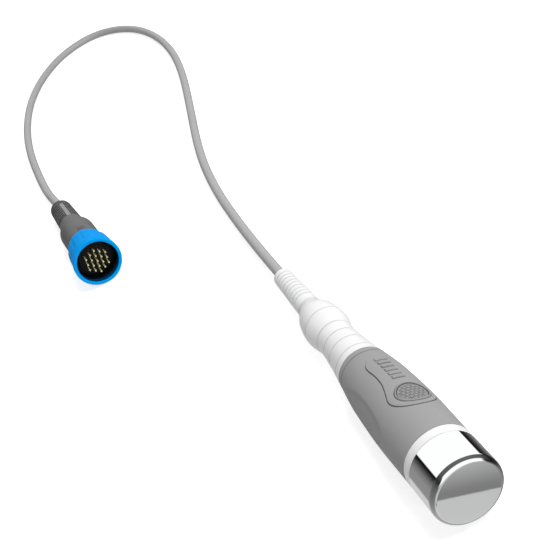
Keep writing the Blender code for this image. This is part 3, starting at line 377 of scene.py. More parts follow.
def finish_mesh(mesh, material):
    """Gives a mesh one material in place of those that it has."""
    mesh.materials.clear()
    mesh.materials.append(material)


def piece(name, mesh, material, body, replaced):
    """A finished piece at the origin, riding on its body and standing for its nodes."""
    obj = add_object(name, mesh)
    finish_mesh(mesh, material)
    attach(obj, body)
    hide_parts(*replaced)
    return obj


# Shader maths

class Value:
    """A shader socket that takes part in arithmetic. Each operation adds the Math node that does it."""

    def __init__(self, finish, socket):
        self.finish = finish
        self.socket = socket

    def __add__(self, other):
        return self.finish.maths("ADD", self, other)

    __radd__ = __add__

    def __mul__(self, other):
        return self.finish.maths("MULTIPLY", self, other)

    __rmul__ = __mul__

    def __sub__(self, other):
        return self.finish.maths("SUBTRACT", self, other)

    def __rsub__(self, other):
        return self.finish.maths("SUBTRACT", other, self)


class Finish:
    """One node tree that is being built, for a material or the world."""

    def __init__(self, tree):
        self.tree = tree
        tree.nodes.clear()

    def add(self, kind, settings=None, sockets=None):
        """Adds a node. Its settings come first, then the values or links of its sockets.

        The setting "stops" holds a ramp's stops as (place, grey level). What comes back is the
        list of its outputs as Values.
        """
        node = self.tree.nodes.new(kind)
        for name, value in (settings or {}).items():
            if name == "stops":
                ramp = node.color_ramp
                while len(ramp.elements) < len(value):
                    ramp.elements.new(1.0)
                for element, (place, level) in zip(ramp.elements, value):
                    element.position = place
                    element.color = (level, level, level, 1.0)
            else:
                setattr(node, name, value)
        for name, value in (sockets or {}).items():
            if isinstance(value, Value):
                self.tree.links.new(value.socket, node.inputs[name])
            else:
                node.inputs[name].default_value = value
        return [Value(self, output) for output in node.outputs]

    def maths(self, operation, *values):
        """A Math node on one, two or three values."""
        return self.add("ShaderNodeMath", {"operation": operation}, dict(enumerate(values)))[0]

    def soft(self, value, low, high):
        """A share that goes smoothly from 0 to 1 as value goes from low to high."""
        return self.add("ShaderNodeMapRange", {"interpolation_type": "SMOOTHSTEP"},
                        {0: value, 1: low, 2: high, 3: 0.0, 4: 1.0})[0]

    def grey(self, place, *stops):
        """A grey that is read from a ramp at place."""
        return self.add("ShaderNodeValToRGB", {"stops": stops}, {0: place})[0]

    def noise(self, size, detail=2.0):
        """Noise from 0 to 1 on the piece's own frame, whose features are about size across."""
        place = self.add("ShaderNodeTexCoord")[3]
        return self.add("ShaderNodeTexNoise", None, {"Vector": place, "Scale": 1.0 / size, "Detail": detail})[0]

    def recess(self):
        """The mesh's share of painted shade at a point, which darkens grooves, slots and hollows, and in places
        gives a flat darker tone.
        """
        return self.add("ShaderNodeAttribute", {"attribute_name": PAINTED_SHADE_AND_TONE})[2]

    def blend(self, share, first, second):
        """A colour that goes from first to second as share goes from 0 to 1."""
        return self.add("ShaderNodeMix", {"data_type": "RGBA"}, {0: share, 6: first, 7: second})[2]

    def bump(self, height, distance):
        """A normal that leans as a surface whose height goes from 0 to distance does."""
        return self.add("ShaderNodeBump", None, {"Height": height, "Distance": distance})[0]

    def mix_shaders(self, share, first, second):
        """A shader that goes from first to second as share goes from 0 to 1."""
        return self.add("ShaderNodeMixShader", None, {0: share, 1: first, 2: second})[0]

    def background(self, colour, strength):
        """Light of the world."""
        return self.add("ShaderNodeBackground", None, {"Color": colour, "Strength": strength})[0]


def rgba(colour, share=1.0):
    """A colour times share, at most 1, with full alpha."""
    return (*(min(1.0, c * share) for c in colour), 1.0)


def material(name, build):
    """A material whose surface is what build returns from its Finish, made once.

    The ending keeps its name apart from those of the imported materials.
    """
    found = bpy.data.materials.get(f"{name}_finish")
    if found:
        return found
    made = bpy.data.materials.new(f"{name}_finish")
    made.use_nodes = True
    finish = Finish(made.node_tree)
    finish.add("ShaderNodeOutputMaterial", None, {"Surface": build(finish)})
    return made


# The finishes

def moulded(name, colour, roughness, grain, grain_depth, mottle, metallic=0.0, recess=None, specular=0.5):
    """A moulded, drawn or plated surface.

    The colour varies by mottle over a few centimetres, the roughness a little with the grain, and
    the bump has grain of the given size and depth. The painted shade share, where it is given, is
    the share of the colour that is left where the mesh's painted shade attribute is 1: painted shade
    at the bottom of grooves, in slots and inside hollows, and on some pieces a flat darker tone.
    """
    uneven = 0.08

    def build(finish):
        broad = finish.noise(14 * MM, 3.0)
        fine = finish.noise(grain)
        tone = finish.blend(broad, rgba(colour, 1 - mottle), rgba(colour, 1 + mottle))
        if recess is not None:
            tone = finish.blend(finish.recess(), tone, rgba(colour, recess))
        sockets = {"Base Color": tone, "Roughness": fine * uneven + (roughness - uneven / 2),
                   "Metallic": metallic, "Normal": finish.bump(fine, grain_depth),
                   "Specular IOR Level": specular}
        return finish.add("ShaderNodeBsdfPrincipled", None, sockets)[0]
    return material(name, build)


def chrome():
    """Polished plating: a mirror with faint wipe marks that change its roughness a little."""
    def build(finish):
        smear = finish.noise(9 * MM, 4.0)
        wave = finish.noise(7 * MM, 0.0)
        tone = finish.blend(smear, rgba(colours().metal, 0.985), rgba(colours().metal))
        sockets = {"Base Color": tone, "Metallic": 1.0, "Roughness": smear * 0.014 + 0.008,
                   "Normal": finish.bump(wave, 0.0004 * MM)}
        return finish.add("ShaderNodeBsdfPrincipled", None, sockets)[0]
    return material("polished_chrome", build)


def white_plastic():
    """Satin white of the collar, the housing and the cable boot, with painted shade in the grooves of the housing
    and the boot.
    """
    return moulded("white_plastic", colours().white, 0.38, 0.5 * MM, 0.004 * MM, 0.01, recess=0.66)


def soft_grip():
    """Matt soft rubber with a fine grain, and painted shade in its grooves and round its ribs and dots."""
    return moulded("soft_grip", colours().sleeve, 0.62, 0.28 * MM, 0.022 * MM, 0.035, recess=0.22, specular=0.25)


def cable_jacket():
    """Smooth grey jacket of the cable."""
    return moulded("cable_jacket", colours().cable, 0.45, 0.7 * MM, 0.012 * MM, 0.04)


def ring_blue():
    """Bright blue plastic, with painted shade that makes the inside of the ring far darker."""
    return moulded("ring_blue", colours().ring, 0.5, 0.5 * MM, 0.006 * MM, 0.03, recess=0.12, specular=0.03)


def shell_grey():
    """Mottled mid-grey plastic of the backshell, with painted shade in its marks and a darker tone on the shell than
    on its spine.
    """
    return moulded("shell_grey", colours().shell, 0.5, 0.55 * MM, 0.02 * MM, 0.14, recess=0.05)


def boot_dark():
    """Dark grey rubber of the plug's boot, with painted shade that makes its slots nearly black, and darker solid
    ends.
    """
    return moulded("boot_dark", colours().boot, 0.5, 0.4 * MM, 0.015 * MM, 0.1, recess=0.03, specular=0.3)


def black_plastic():
    """Black plastic of the plug's barrel and insulator."""
    return moulded("black_plastic", (0.004, 0.004, 0.005), 0.45, 0.5 * MM, 0.006 * MM, 0.15, specular=0.2)


def gold_plate():
    """Pale gold plating of the contact pins."""
    return moulded("gold_plate", colours().gold, 0.3, 0.3 * MM, 0.002 * MM, 0.05, metallic=0.35)


def inner_finishes():
    """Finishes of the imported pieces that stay, by the nodes that wear them."""
    silver = moulded("silvered_disc", (0.74, 0.72, 0.66), 0.42, 0.35 * MM, 0.006 * MM, 0.06, metallic=0.6)
    natural = moulded("natural_plastic", (0.74, 0.71, 0.60), 0.5, 0.5 * MM, 0.01 * MM, 0.05)
    steel = moulded("spring_steel", (0.58, 0.58, 0.60), 0.28, 0.2 * MM, 0.003 * MM, 0.05, metallic=1.0)
    rubber = moulded("black_rubber", (0.03, 0.03, 0.03), 0.7, 0.3 * MM, 0.02 * MM, 0.1)
    board = moulded("board_green", (0.02, 0.20, 0.08), 0.4, 1.2 * MM, 0.02 * MM, 0.25)
    copper = moulded("copper_winding", (0.62, 0.27, 0.12), 0.35, 0.4 * MM, 0.05 * MM, 0.15, metallic=0.9)
    tan = moulded("capacitor_tan", (0.60, 0.38, 0.12), 0.5, 0.4 * MM, 0.01 * MM, 0.08)
    red = moulded("red_wire", (0.52, 0.03, 0.02), 0.45, 0.4 * MM, 0.006 * MM, 0.06)
    return {"piezo_disc": silver, "crystal_retainer": natural, "cable_clamp": natural,
            "plug_clamp": natural, "contact_spring": steel, "ring_clip": steel,
            "cap_o_ring": rubber, "crystal_lead_2": rubber, "matching_board": board,
            "contact_plate": board, "tuning_coil": copper, "tuning_capacitor": tan,
            "crystal_lead_1": red, "cable_cores": red, "plug_cores": red,
            "cable_tail": cable_jacket(), "plug_tail": cable_jacket(), "pin_insert": black_plastic()}


# The handle

def handle_radius(s):
    """Outer radius of the handle behind the collar, on the curve through HANDLE_LINE."""
    return smooth(HANDLE_LINE, s)


def make_cap_mesh(axis):
    """The cup: the flat face out to the rim, a quarter of an ellipse, the side and the bore."""
    radius, rim_round = sizes().cap_radius, sizes().rim_round
    plate, wall, ease, bevel = 1.6 * MM, 1.3 * MM, 0.12 * MM, 0.15 * MM
    flat, round_end = radius - rim_round, RIM_STRETCH * rim_round
    face = np.array([(0.0, 0.0), (0.0, 0.3 * flat), (0.0, 0.7 * flat), (0.0, flat - ease)])
    rim = quarter(0.0, radius, round_end, rim_round, 20)
    side = np.array([(round_end + ease, radius), (12 * MM, radius), (CAP_END - bevel, radius),
                     (CAP_END, radius - bevel), (CAP_END, radius - wall), (plate, radius - wall), (plate, 0.0)])
    outline = np.concatenate([face, rim, side])
    return lathe_mesh("metal_cap_skin", axis, outline, 192)


def make_collar_mesh(axis):
    """The collar: a nose inside the cap with the seal's groove, the flange that shows, and a tail."""
    r, bevel = sizes().cap_radius, 0.25 * MM
    nose_start, groove_start, groove_end = 16.05 * MM, 17.0 * MM, 19.1 * MM
    flange_start, flange_end, tail_end = 20.55 * MM, 25.35 * MM, 33.85 * MM
    nose, groove, tail, bore = 15.4 * MM, 13.6 * MM, 12.3 * MM, 9.6 * MM
    outline = np.array([(nose_start, nose), (groove_start, nose), (groove_start, groove), (groove_end, groove),
                        (groove_end, nose), (flange_start, nose), (flange_start, r - bevel),
                        (flange_start + bevel, r), (flange_end - bevel, r), (flange_end, r - bevel),
                        (flange_end, tail), (tail_end, tail), (tail_end, bore), (nose_start, bore)])
    return lathe_mesh("white_collar_skin", axis, outline, 176, wrap_rows=True)


def panel_inset(s, a):
    """How far a point lies inside the thumb panel's outline, in metres, and negative outside it.

    The outline is half an ellipse in front and a smooth half width behind it. In the ellipse the
    distance is q (1 - q) over the length of q's gradient, and behind it the spare half width.
    """
    far_side = 50 * MM
    y = np.where(np.cos(a) > 0, handle_radius(s) * np.sin(a), np.sign(a) * far_side)
    along, across = (s - PANEL_HEAD) / PANEL_HALF_LENGTH, y / PANEL_HALF_WIDTH
    q = np.sqrt(along ** 2 + across ** 2) + 1e-9
    slope = np.sqrt((along / PANEL_HALF_LENGTH) ** 2 + (across / PANEL_HALF_WIDTH) ** 2) + 1e-9
    return np.where(s < PANEL_HEAD, q * (1 - q) / slope, smooth(PANEL_FLANK, s) - np.abs(y))


def panel_relief(s, a):
    """The thumb panel: raised by panel_rise inside its outline, with a thin groove along its foot.

    Both fade over the last 5 mm before the tail. The groove also gets painted shade, which fades with it.
    """
    inside = panel_inset(s, a)
    fade = np.clip((PANEL_FLANK[-1, 0] - s) / (5.0 * MM), 0.0, 1.0)
    foot = hump(inside + 0.05 * MM, 0.36 * MM) * fade
    return sizes().panel_rise * fade * step_up(inside, 0.0, 0.3 * MM) - 0.35 * MM * foot, foot


def rest_relief(s, a):
    """The oval rest: a rim round a dish with rows of small dots, by the share q of the way to its outline.

    The dish is 0.3 mm (1 - q^2 / 2) deep. The dots stand on the points of a grid of equal
    triangles, and each is flat on top. Painted shade lines the rim's two edges and rings each dot.
    """
    y = handle_radius(s) * np.sin(a)
    q = np.hypot((s - REST_PLACE) / REST_HALF_LENGTH, (y - 0.2 * MM) / REST_HALF_WIDTH) + 3.0 * (np.cos(a) < 0)
    dish = step_up(1.0 - q, 0.085, 0.125)
    rim = step_up(1.0 - q, 0.0, 0.035) - dish
    row_height = math.sqrt(3) / 2
    row = (s - REST_PLACE) / (DOT_PITCH * row_height)
    column = y / DOT_PITCH - 0.5 * (np.round(row) % 2)
    off = np.hypot((row - np.round(row)) * row_height, column - np.round(column))
    field = step_up(1.0 - q, 0.2, 0.22)
    dots = (1 - step_up(off, 0.22, 0.31)) * field
    relief = sizes().rest_rise * rim - 0.3 * MM * dish * (1 - 0.5 * np.minimum(q, 1.0) ** 2) + 0.4 * MM * dots
    return relief, hump(q - 1.015, 0.045) + hump(q - 0.885, 0.05) + 0.85 * hump(off - 0.38, 0.16) * field


def ladder_relief(s, a):
    """The ladder: equal ribs across the panel, 0.5 mm high, with painted shade round the foot of each."""
    y = np.abs(handle_radius(s) * np.sin(a))
    rung = (s - LADDER_START) / LADDER_PITCH
    on_ladder = (rung > -0.5) & (rung < LADDER_RIBS - 0.5) & (np.cos(a) > 0)
    from_rung = np.abs(rung - np.round(rung))
    ribs = (1 - step_up(from_rung, 0.15, 0.23)) * step_up(2.9 * MM - y, 0.0, 0.3 * MM)
    # Painted shade beside each rib and at its ends
    painted_rib_foot_shade = hump(from_rung - 0.29, 0.11) * step_up(3.2 * MM - y, 0.0, 0.2 * MM)
    painted_rib_end_shade = hump(y - 3.0 * MM, 0.3 * MM) * (from_rung < 0.27)
    return 0.5 * MM * ribs * on_ladder, np.maximum(painted_rib_foot_shade, painted_rib_end_shade) * on_ladder


def sleeve_relief(s, a):
    """What stands off or sinks into the sleeve's plain outline, and its painted shade share (0 to 1).

    It adds up the panel, the oval rest, the ladder, a scoop on each side and the moulded line near
    the rear edge. A scoop sinks by scoop_depth where 1 less its elliptical distance is over 0.28.
    """
    around = np.abs(np.arctan2(np.sin(a), np.cos(a)))
    reach = np.hypot((s - SCOOP_PLACE) / SCOOP_HALF_LENGTH, (around - SCOOP_ANGLE) / SCOOP_HALF_ANGLE)
    line = hump(s - SLEEVE_LINE, 0.5 * MM)
    relief = -sizes().scoop_depth * step_up(1.0 - reach, 0.0, 0.28) - 0.35 * MM * line
    # Painted shade in the moulded line
    recess = 0.9 * line
    for form in (panel_relief, rest_relief, ladder_relief):
        rise, groove = form(s, a)
        relief = relief + rise
        recess = recess + groove
    return relief, np.clip(recess, 0.0, 1.0)


def make_sleeve_mesh(axis):
    """The sleeve: its outer side with the relief, both edges rounded, and a plain inner side."""
    edge, wall = 0.5 * MM, 2.4 * MM
    fine = stretches((SLEEVE_START + edge, 41.8 * MM, 1.2 * MM), (41.8 * MM, 62.5 * MM, 0.19 * MM),
                     (62.5 * MM, 89.0 * MM, 0.26 * MM), (89.0 * MM, 96.2 * MM, 0.6 * MM),
                     (96.2 * MM, 98.1 * MM, 0.12 * MM), (98.1 * MM, SLEEVE_END - edge, 0.6 * MM))
    bend = np.array([0.0, 0.25, 0.6, 1.0]) * math.pi / 2
    along, inwards = edge * (1 - np.sin(bend)), edge * (1 - np.cos(bend))
    inner = np.linspace(SLEEVE_END, SLEEVE_START, 9)
    s = np.concatenate([(SLEEVE_START + along)[:0:-1], fine, (SLEEVE_END - along)[1:], inner])[:, None]
    sink = np.concatenate([inwards[:0:-1], np.zeros(len(fine)), inwards[1:], np.full(len(inner), wall)])[:, None]
    angles = denser_turn(math.radians(54.0), 200, 90)
    relief, recess = sleeve_relief(s, angles)
    outside = sink < wall
    r = handle_radius(s) - sink + relief * outside
    return grid_mesh("grip_sleeve_skin", axis.turned(s, r, angles), wrap_rows=True, recess=recess * outside)


def make_housing_mesh(axis):
    """The rear housing: the outline sunk by five round grooves, with round edges, and a plain bore."""
    s = stretches((HOUSING_START, HOUSING_END, 0.22 * MM))
    depth = hump(s[:, None] - HOUSING_GROOVES, 0.55 * MM).max(1)
    edge = 0.4 * MM * (1 - step_up(np.minimum(s - HOUSING_START, HOUSING_END - s), 0.0, 0.5 * MM))
    r = handle_radius(s) - sizes().groove_depth * depth - edge
    # Forward along the bore, round the front end and back under the sleeve
    core = np.array([(HOUSING_END / MM, 6.2), (157.0, 6.2), (157.0, 8.2), (103.8, 8.2), (101.8, 9.2), (80.0, 11.4),
                     (50.0, 12.6), (25.65, 12.3), (25.65, 14.3), (50.0, 14.6), (80.0, 13.4), (101.9, 10.75)]) * MM
    outline = np.concatenate([np.stack((s, r), 1), core])
    # Painted shade fills each groove and runs out over its shoulders
    recess = np.concatenate([np.minimum(2.5 * depth, 1.0), np.zeros(len(core))])[:, None]
    return lathe_mesh("rear_housing_skin", axis, outline, 176, wrap_rows=True, recess=recess)


def make_boot_mesh(axis):
    """The cable boot: a straight taper with nine round grooves, a round end and the cable's mouth."""
    s = stretches((BOOT_START, BOOT_END, 0.2 * MM))
    share = (s - 168.0 * MM) / (44.6 * MM)
    depth = hump(s[:, None] - BOOT_GROOVES, 0.7 * MM).max(1)
    tip = 0.6 * MM * (1 - step_up(BOOT_END - s, 0.0, 0.7 * MM))
    r = 7.1 * MM - 1.4 * MM * share - sizes().boot_ring_depth * depth - tip
    nose = np.array([(BOOT_START, 0.0), (BOOT_START, 5.6 * MM)])
    outline = np.concatenate([nose, np.stack((s, r), 1), cable_mouth(BOOT_END)])
    # Painted shade in the boot's grooves, and painted shade on its shoulder just behind the housing
    painted_shoulder_shade = 0.7 * (1 - step_up(s, BOOT_START + 1.0 * MM, BOOT_START + 4.5 * MM))
    recess = np.concatenate([[0, 0], np.maximum(np.minimum(2.0 * depth, 1.0), painted_shoulder_shade), [0, 0, 0]])[:, None]
    return lathe_mesh("cable_boot_skin", axis, outline, 120, recess=recess)


def cable_mouth(end):
    """The hole in a boot's end that the cable enters: (place, radius) pairs from its edge to the axis."""
    mouth = plug_sizes().cable_radius + CABLE_PLAY
    return np.array([(end, mouth), (end - 3 * MM, mouth), (end - 3 * MM, 0.0)])


# The plug

def ring_radius(s, r, a):
    """The ring's outer radius r with its flutes: each is a shallow round channel that starts as a round end.

    A flute takes flute_depth * (1 - t^2) off, where t is the distance from its line over its half width.
    """
    start, round_end, half_width = 8.6 * MM, 1.6 * MM, 1.64 * MM
    pitch = math.tau / plug_sizes().flutes
    upright = a + plug_sizes().roll
    off = (upright - np.round(upright / pitch) * pitch) * r
    front = np.clip((start - s) / round_end, 0.0, 1.0) * half_width
    t = np.clip(np.hypot(off, front) / half_width, 0.0, 1.0)
    outside = (s > 4.0 * MM) & (r > 12.5 * MM)
    return r - np.where(outside, plug_sizes().flute_depth * (1 - t * t), 0.0)


def make_ring_mesh(axis):
    """The coupling ring: round rim, slightly waisted barrel with flutes, and a stepped bore."""
    radius, bore, lip = 16.2 * MM, 13.9 * MM, 0.7 * MM
    rim = quarter(0.0, radius, lip, lip, 9)
    s = stretches((0.9 * MM, 5.6 * MM, 0.5 * MM), (5.6 * MM, 9.4 * MM, 0.2 * MM), (9.4 * MM, 29.5 * MM, 0.6 * MM))
    outer = np.stack((s, smooth(RING_LINE, s)), 1)
    rear = np.array([(29.75, 12.95), (29.95, 12.75), (30.0, 12.5)]) * MM
    inner = np.array([(30.0, 12.0), (17.5, 12.0), (17.5, 11.3), (14.5, 11.3), (14.5, 13.9), (0.7, 13.9)]) * MM
    bend = np.linspace(0.0, math.pi / 2, 7)[1:]
    front = np.stack((lip * (1 - np.sin(bend)), bore + lip * (1 - np.cos(bend))), 1)
    outline = np.concatenate([rim, outer, rear, inner, front])
    s, r, angles = outline[:, :1], outline[:, 1:], full_turn(plug_sizes().flutes * 24)
    first_inside = len(rim) + len(outer) + len(rear)
    # The whole inner side of the ring gets painted shade
    inside = (np.arange(len(outline)) >= first_inside)[:, None] & (s > 0.6 * MM)
    points = axis.turned(s, ring_radius(s, r, angles), angles)
    return grid_mesh("coupling_ring_skin", points, wrap_rows=True, recess=inside)


def make_barrel_mesh(axis):
    """The plug's barrel with its flange, and a thin skirt that lines the ring's bore."""
    outline = np.array([(8.0, 9.6), (8.0, 10.75), (8.25, 11.0), (11.6, 11.0), (11.6, 13.5), (4.9, 13.5),
                        (4.75, 13.62), (4.9, 13.75), (14.2, 13.75), (14.2, 11.0), (17.1, 11.0), (17.1, 9.95),
                        (19.5, 9.95), (19.5, 11.0), (38.0, 11.0), (38.0, 8.4), (17.3, 8.4), (17.3, 9.6)]) * MM
    return lathe_mesh("plug_barrel_skin", axis, outline, 144, wrap_rows=True)


def pin_centres():
    """Middles of the pins across the plug: rows that stand on the gaps of their neighbours."""
    rows = np.repeat(np.arange(len(PIN_ROWS)), PIN_ROWS)
    columns = np.concatenate([np.arange(count) for count in PIN_ROWS])
    up = ((len(PIN_ROWS) - 1) / 2 - rows) * math.sqrt(3) / 2
    across = columns - (np.array(PIN_ROWS)[rows] - 1) / 2
    c, s = math.cos(plug_sizes().pin_turn), math.sin(plug_sizes().pin_turn)
    return np.stack((c * up - s * across, s * up + c * across), 1) * plug_sizes().pin_pitch


def make_pins_mesh(axis):
    """All contact pins in one mesh: a ball tip on a straight shaft, turned round an axis of its own."""
    tip, radius, start, end = 0.62 * MM, plug_sizes().pin_radius, 0.9 * MM, 21.0 * MM
    bend = np.linspace(0.0, math.radians(140), 11)
    ball = np.stack((start + tip * (1 - np.cos(bend)), tip * np.sin(bend)), 1)
    outline = np.concatenate([ball, [(ball[-1, 0] + 0.25 * MM, radius), (end, radius), (end, 0.0)]])
    pin = axis.turned(outline[:, :1], outline[:, 1:], full_turn(20))
    shifts = pin_centres() @ axis.turn[:2]
    meshes = [grid_mesh(f"pin_{number:02d}", pin + shift) for number, shift in enumerate(shifts, 1)]
    return join_meshes("contact_pins_skin", meshes)


def make_spine_mesh(axis):
    """The spine that runs back along the boot: a strip that bends round the plug.

    Its outer line is the boot's radius plus 0.2 mm, less up to 0.7 mm at its round end, and its
    sides drop by 0.3 mm t^8, where t is the share of the way from its middle to its side.
    """
    s = stretches((71.5 * MM, SPINE_END, 0.8 * MM))
    flank = smooth(PLUG_BOOT_LINE, s) + 0.2 * MM
    outer = flank - 0.7 * MM * step_up(s, 102.0 * MM, 102.9 * MM)
    outer[:2] = 8.6 * MM, 8.8 * MM
    inner = flank - 1.4 * MM
    across = np.concatenate([np.linspace(-1, 1, 13), np.linspace(1, -1, 7)])
    on_top = np.arange(len(across)) < 13
    r = np.where(on_top, outer[:, None] - 0.3 * MM * np.abs(across) ** 8, inner[:, None])
    lean = 1.65 * MM / outer.mean()
    return grid_mesh("spine", axis.turned(s[:, None], r, across * lean), recess=0.0)


def make_backshell_mesh(axis):
    """The backshell: its outer line with two marks sunk 0.45 mm on top, a bore, and the spine behind it."""
    radius, edge = 12.3 * MM, 0.35 * MM
    s = stretches((SHELL_START, 33.0 * MM, 0.3 * MM), (33.0 * MM, 37.8 * MM, 0.12 * MM),
                  (37.8 * MM, 73.55 * MM, 0.6 * MM))
    body = np.stack((s, smooth(SHELL_LINE, s)), 1)[1:]
    front = np.array([(SHELL_START, radius - edge)])
    rear = np.array([(73.85, 8.7), (73.85, 4.7), (64.0, 4.7), (63.0, 9.0), (56.0, 10.9), (38.3, 10.9),
                     (38.3, 11.3), (30.3, 11.3)]) * MM
    outline = np.concatenate([front, body, rear])
    s, r, angles = outline[:, :1], outline[:, 1:], denser_turn(0.32, 60, 110)
    along = np.abs(s - SHELL_MARKS).min(1)[:, None]
    across = np.abs(radius * angles)
    sunk = (1 - step_up(along, 0.36 * MM, 0.52 * MM)) * (1 - step_up(across, 2.45 * MM, 2.7 * MM))
    sunk = sunk * (r > 12.0 * MM)
    # Painted shade in the two sunk marks, and a flat darker tone, 0.6 of the way, on the rest of the shell; the
    # spine keeps the full colour
    recess = np.maximum(np.minimum(6.0 * sunk, 1.0), 0.6)
    shell = grid_mesh("backshell", axis.turned(s, r - 0.45 * MM * sunk, angles), wrap_rows=True, recess=recess)
    return join_meshes("plug_backshell_skin", [shell, make_spine_mesh(axis)])


def boot_slots(s, y):
    """Depth share of the plug boot's slots: seven rings, each left solid on top and below."""
    near = np.clip(np.round((s - SLOT_START) / SLOT_PITCH), 0, SLOTS - 1)
    along = np.abs(s - SLOT_START - near * SLOT_PITCH)
    return (1 - step_up(along, 0.8 * MM, 1.1 * MM)) * step_up(np.abs(y), 2.65 * MM, 3.1 * MM)


def make_plug_boot_mesh(axis):
    """The slotted boot: taper, slots 1.5 mm deep, a channel for the spine, a round end and the cable's mouth."""
    nose_radius, end_round, edge = 8.4 * MM, 3.6 * MM, 0.25 * MM
    s = stretches((PLUG_BOOT_START, 77.4 * MM, 0.4 * MM), (77.4 * MM, 103.5 * MM, 0.16 * MM),
                  (103.5 * MM, PLUG_ROUND_START, 0.4 * MM))
    body = np.stack((s, smooth(PLUG_BOOT_LINE, s)), 1)
    body[0, 0] += edge
    bend = np.linspace(0.0, math.pi / 2, 14)[1:]
    end = np.stack((PLUG_ROUND_START + end_round * np.sin(bend), body[-1, 1] - end_round * (1 - np.cos(bend))), 1)
    nose = np.array([(PLUG_BOOT_START, 0.0), (PLUG_BOOT_START, nose_radius)])
    outline = np.concatenate([nose, body, end, cable_mouth(PLUG_END)])
    s, r, angles = outline[:, :1], outline[:, 1:], full_turn(216) - math.pi
    y = nose_radius * np.sin(angles)
    on_body = (s > 75.0 * MM) & (r > 5.5 * MM)
    slots = boot_slots(s, y) * on_body
    channel = (np.abs(y) < 1.95 * MM) & (np.cos(angles) > 0) & (s < 103.1 * MM) & on_body
    solid = (s < 77.4 * MM) | (s > 102.9 * MM)
    points = axis.turned(s, r - np.maximum(1.5 * MM * slots, 1.35 * MM * channel), angles)
    # Painted shade makes the slots nearly black, and the solid ends get a flat darker tone 0.6 of the way; the lands
    # between the slots keep the full colour
    return grid_mesh("plug_boot_skin", points, recess=np.maximum(np.minimum(6.0 * slots, 1.0), 0.6 * solid))


# The cable

def route_curve(points, spacing):
    """Points spacing apart on the cubic spline through points, whose ends run along their chords.

    The slopes follow from one linear system: the curve's second derivative is the same on both
    sides of every point.
    """
    along = np.concatenate([[0], np.cumsum(np.linalg.norm(np.diff(points, axis=0), axis=1))])
    step = np.diff(along)
    inner = np.arange(1, len(points) - 1)
    matrix = np.zeros((len(points), len(points)))
    matrix[0, 0] = matrix[-1, -1] = 1
    matrix[inner, inner - 1] = 1 / step[:-1]
    matrix[inner, inner] = 2 / step[:-1] + 2 / step[1:]
    matrix[inner, inner + 1] = 1 / step[1:]
    chord = np.diff(points, axis=0)
    wanted = np.zeros(points.shape)
    wanted[0] = chord[0] / step[0]
    wanted[-1] = chord[-1] / step[-1]
    wanted[1:-1] = 3 * (chord[:-1] / step[:-1, None] ** 2 + chord[1:] / step[1:, None] ** 2)
    slope = np.linalg.solve(matrix, wanted)
    places = np.linspace(0, along[-1], int(round(along[-1] / spacing)) + 1)
    k = np.clip(np.searchsorted(along, places, side="right") - 1, 0, len(step) - 1)
    u = ((places - along[k]) / step[k])[:, None]
    h = step[k][:, None]
    return (points[k] * (1 + 2 * u) * (1 - u) ** 2 + points[k + 1] * u * u * (3 - 2 * u)
            + h * (slope[k] * u * (1 - u) ** 2 - slope[k + 1] * u * u * (1 - u)))


def cable_path():
    """The cable's middle line: straight out of one boot, along the ground and straight into the other."""
    radius = plug_sizes().cable_radius
    low = radius + GROUND_GAP
    out = handle_axis().world([(0, 0, BOOT_END + BOOT_GAP + run) for run in (0.0, CABLE_EXIT_RUN)])
    back = plug_axis().world([(0, 0, PLUG_END + BOOT_GAP + run) for run in (CABLE_EXIT_RUN, 0.0)])
    ground = np.column_stack((CABLE_ROUTE, np.full(len(CABLE_ROUTE), low)))
    path = route_curve(np.concatenate([out, ground, back]), 2.5 * MM)
    path[:, 2] = np.maximum(path[:, 2], low)
    return path


def make_cable_mesh(path):
    """A tube round path: at each point a circle in the plane across the path's direction.

    Both ends run 2.5 mm on into the boots' mouths.
    """
    first = path[0] - (path[1] - path[0])
    last = path[-1] + (path[-1] - path[-2])
    line = np.concatenate([[first], path, [last]])
    ahead = np.gradient(line, axis=0)
    ahead /= np.linalg.norm(ahead, axis=1, keepdims=True)
    side = np.cross(ahead, (0.0, 0.0, 1.0))
    side /= np.linalg.norm(side, axis=1, keepdims=True)
    up = np.cross(side, ahead)
    angles = np.linspace(0, math.tau, 48, endpoint=False)[None, :, None]
    ring = np.cos(angles) * side[:, None, :] + np.sin(angles) * up[:, None, :]
    points = line[:, None, :] + plug_sizes().cable_radius * ring
    return grid_mesh("cable_jacket_skin", points)


# Operators

class THERAPY_OT_metal_cap(bpy.types.Operator):
    """Makes the polished cap with the treatment face"""
    bl_idname = "therapy_head.metal_cap"
    bl_label = "Metal cap"

    def execute(self, context):
        piece("metal_cap", make_cap_mesh(handle_axis()), chrome(), "root", ["transducer_cap"])
        return {"FINISHED"}


class THERAPY_OT_collar(bpy.types.Operator):
    """Makes the narrow white ring between the cap and the sleeve"""
    bl_idname = "therapy_head.collar"
    bl_label = "Collar"

    def execute(self, context):
        mesh = make_collar_mesh(handle_axis())
        piece("white_collar", mesh, white_plastic(), "root", ["front_collar"])
        return {"FINISHED"}


class THERAPY_OT_sleeve(bpy.types.Operator):
    """Makes the soft sleeve with its thumb panel, oval rest and side scoops"""
    bl_idname = "therapy_head.sleeve"
    bl_label = "Grip sleeve"

    def execute(self, context):
        piece("soft_sleeve", make_sleeve_mesh(handle_axis()), soft_grip(), "root", ["grip_sleeve"])
        return {"FINISHED"}


class THERAPY_OT_housing(bpy.types.Operator):
    """Makes the grooved rear housing"""
    bl_idname = "therapy_head.housing"
    bl_label = "Rear housing"

    def execute(self, context):
        mesh = make_housing_mesh(handle_axis())
        piece("rear_housing", mesh, white_plastic(), "root", ["housing"])
        return {"FINISHED"}


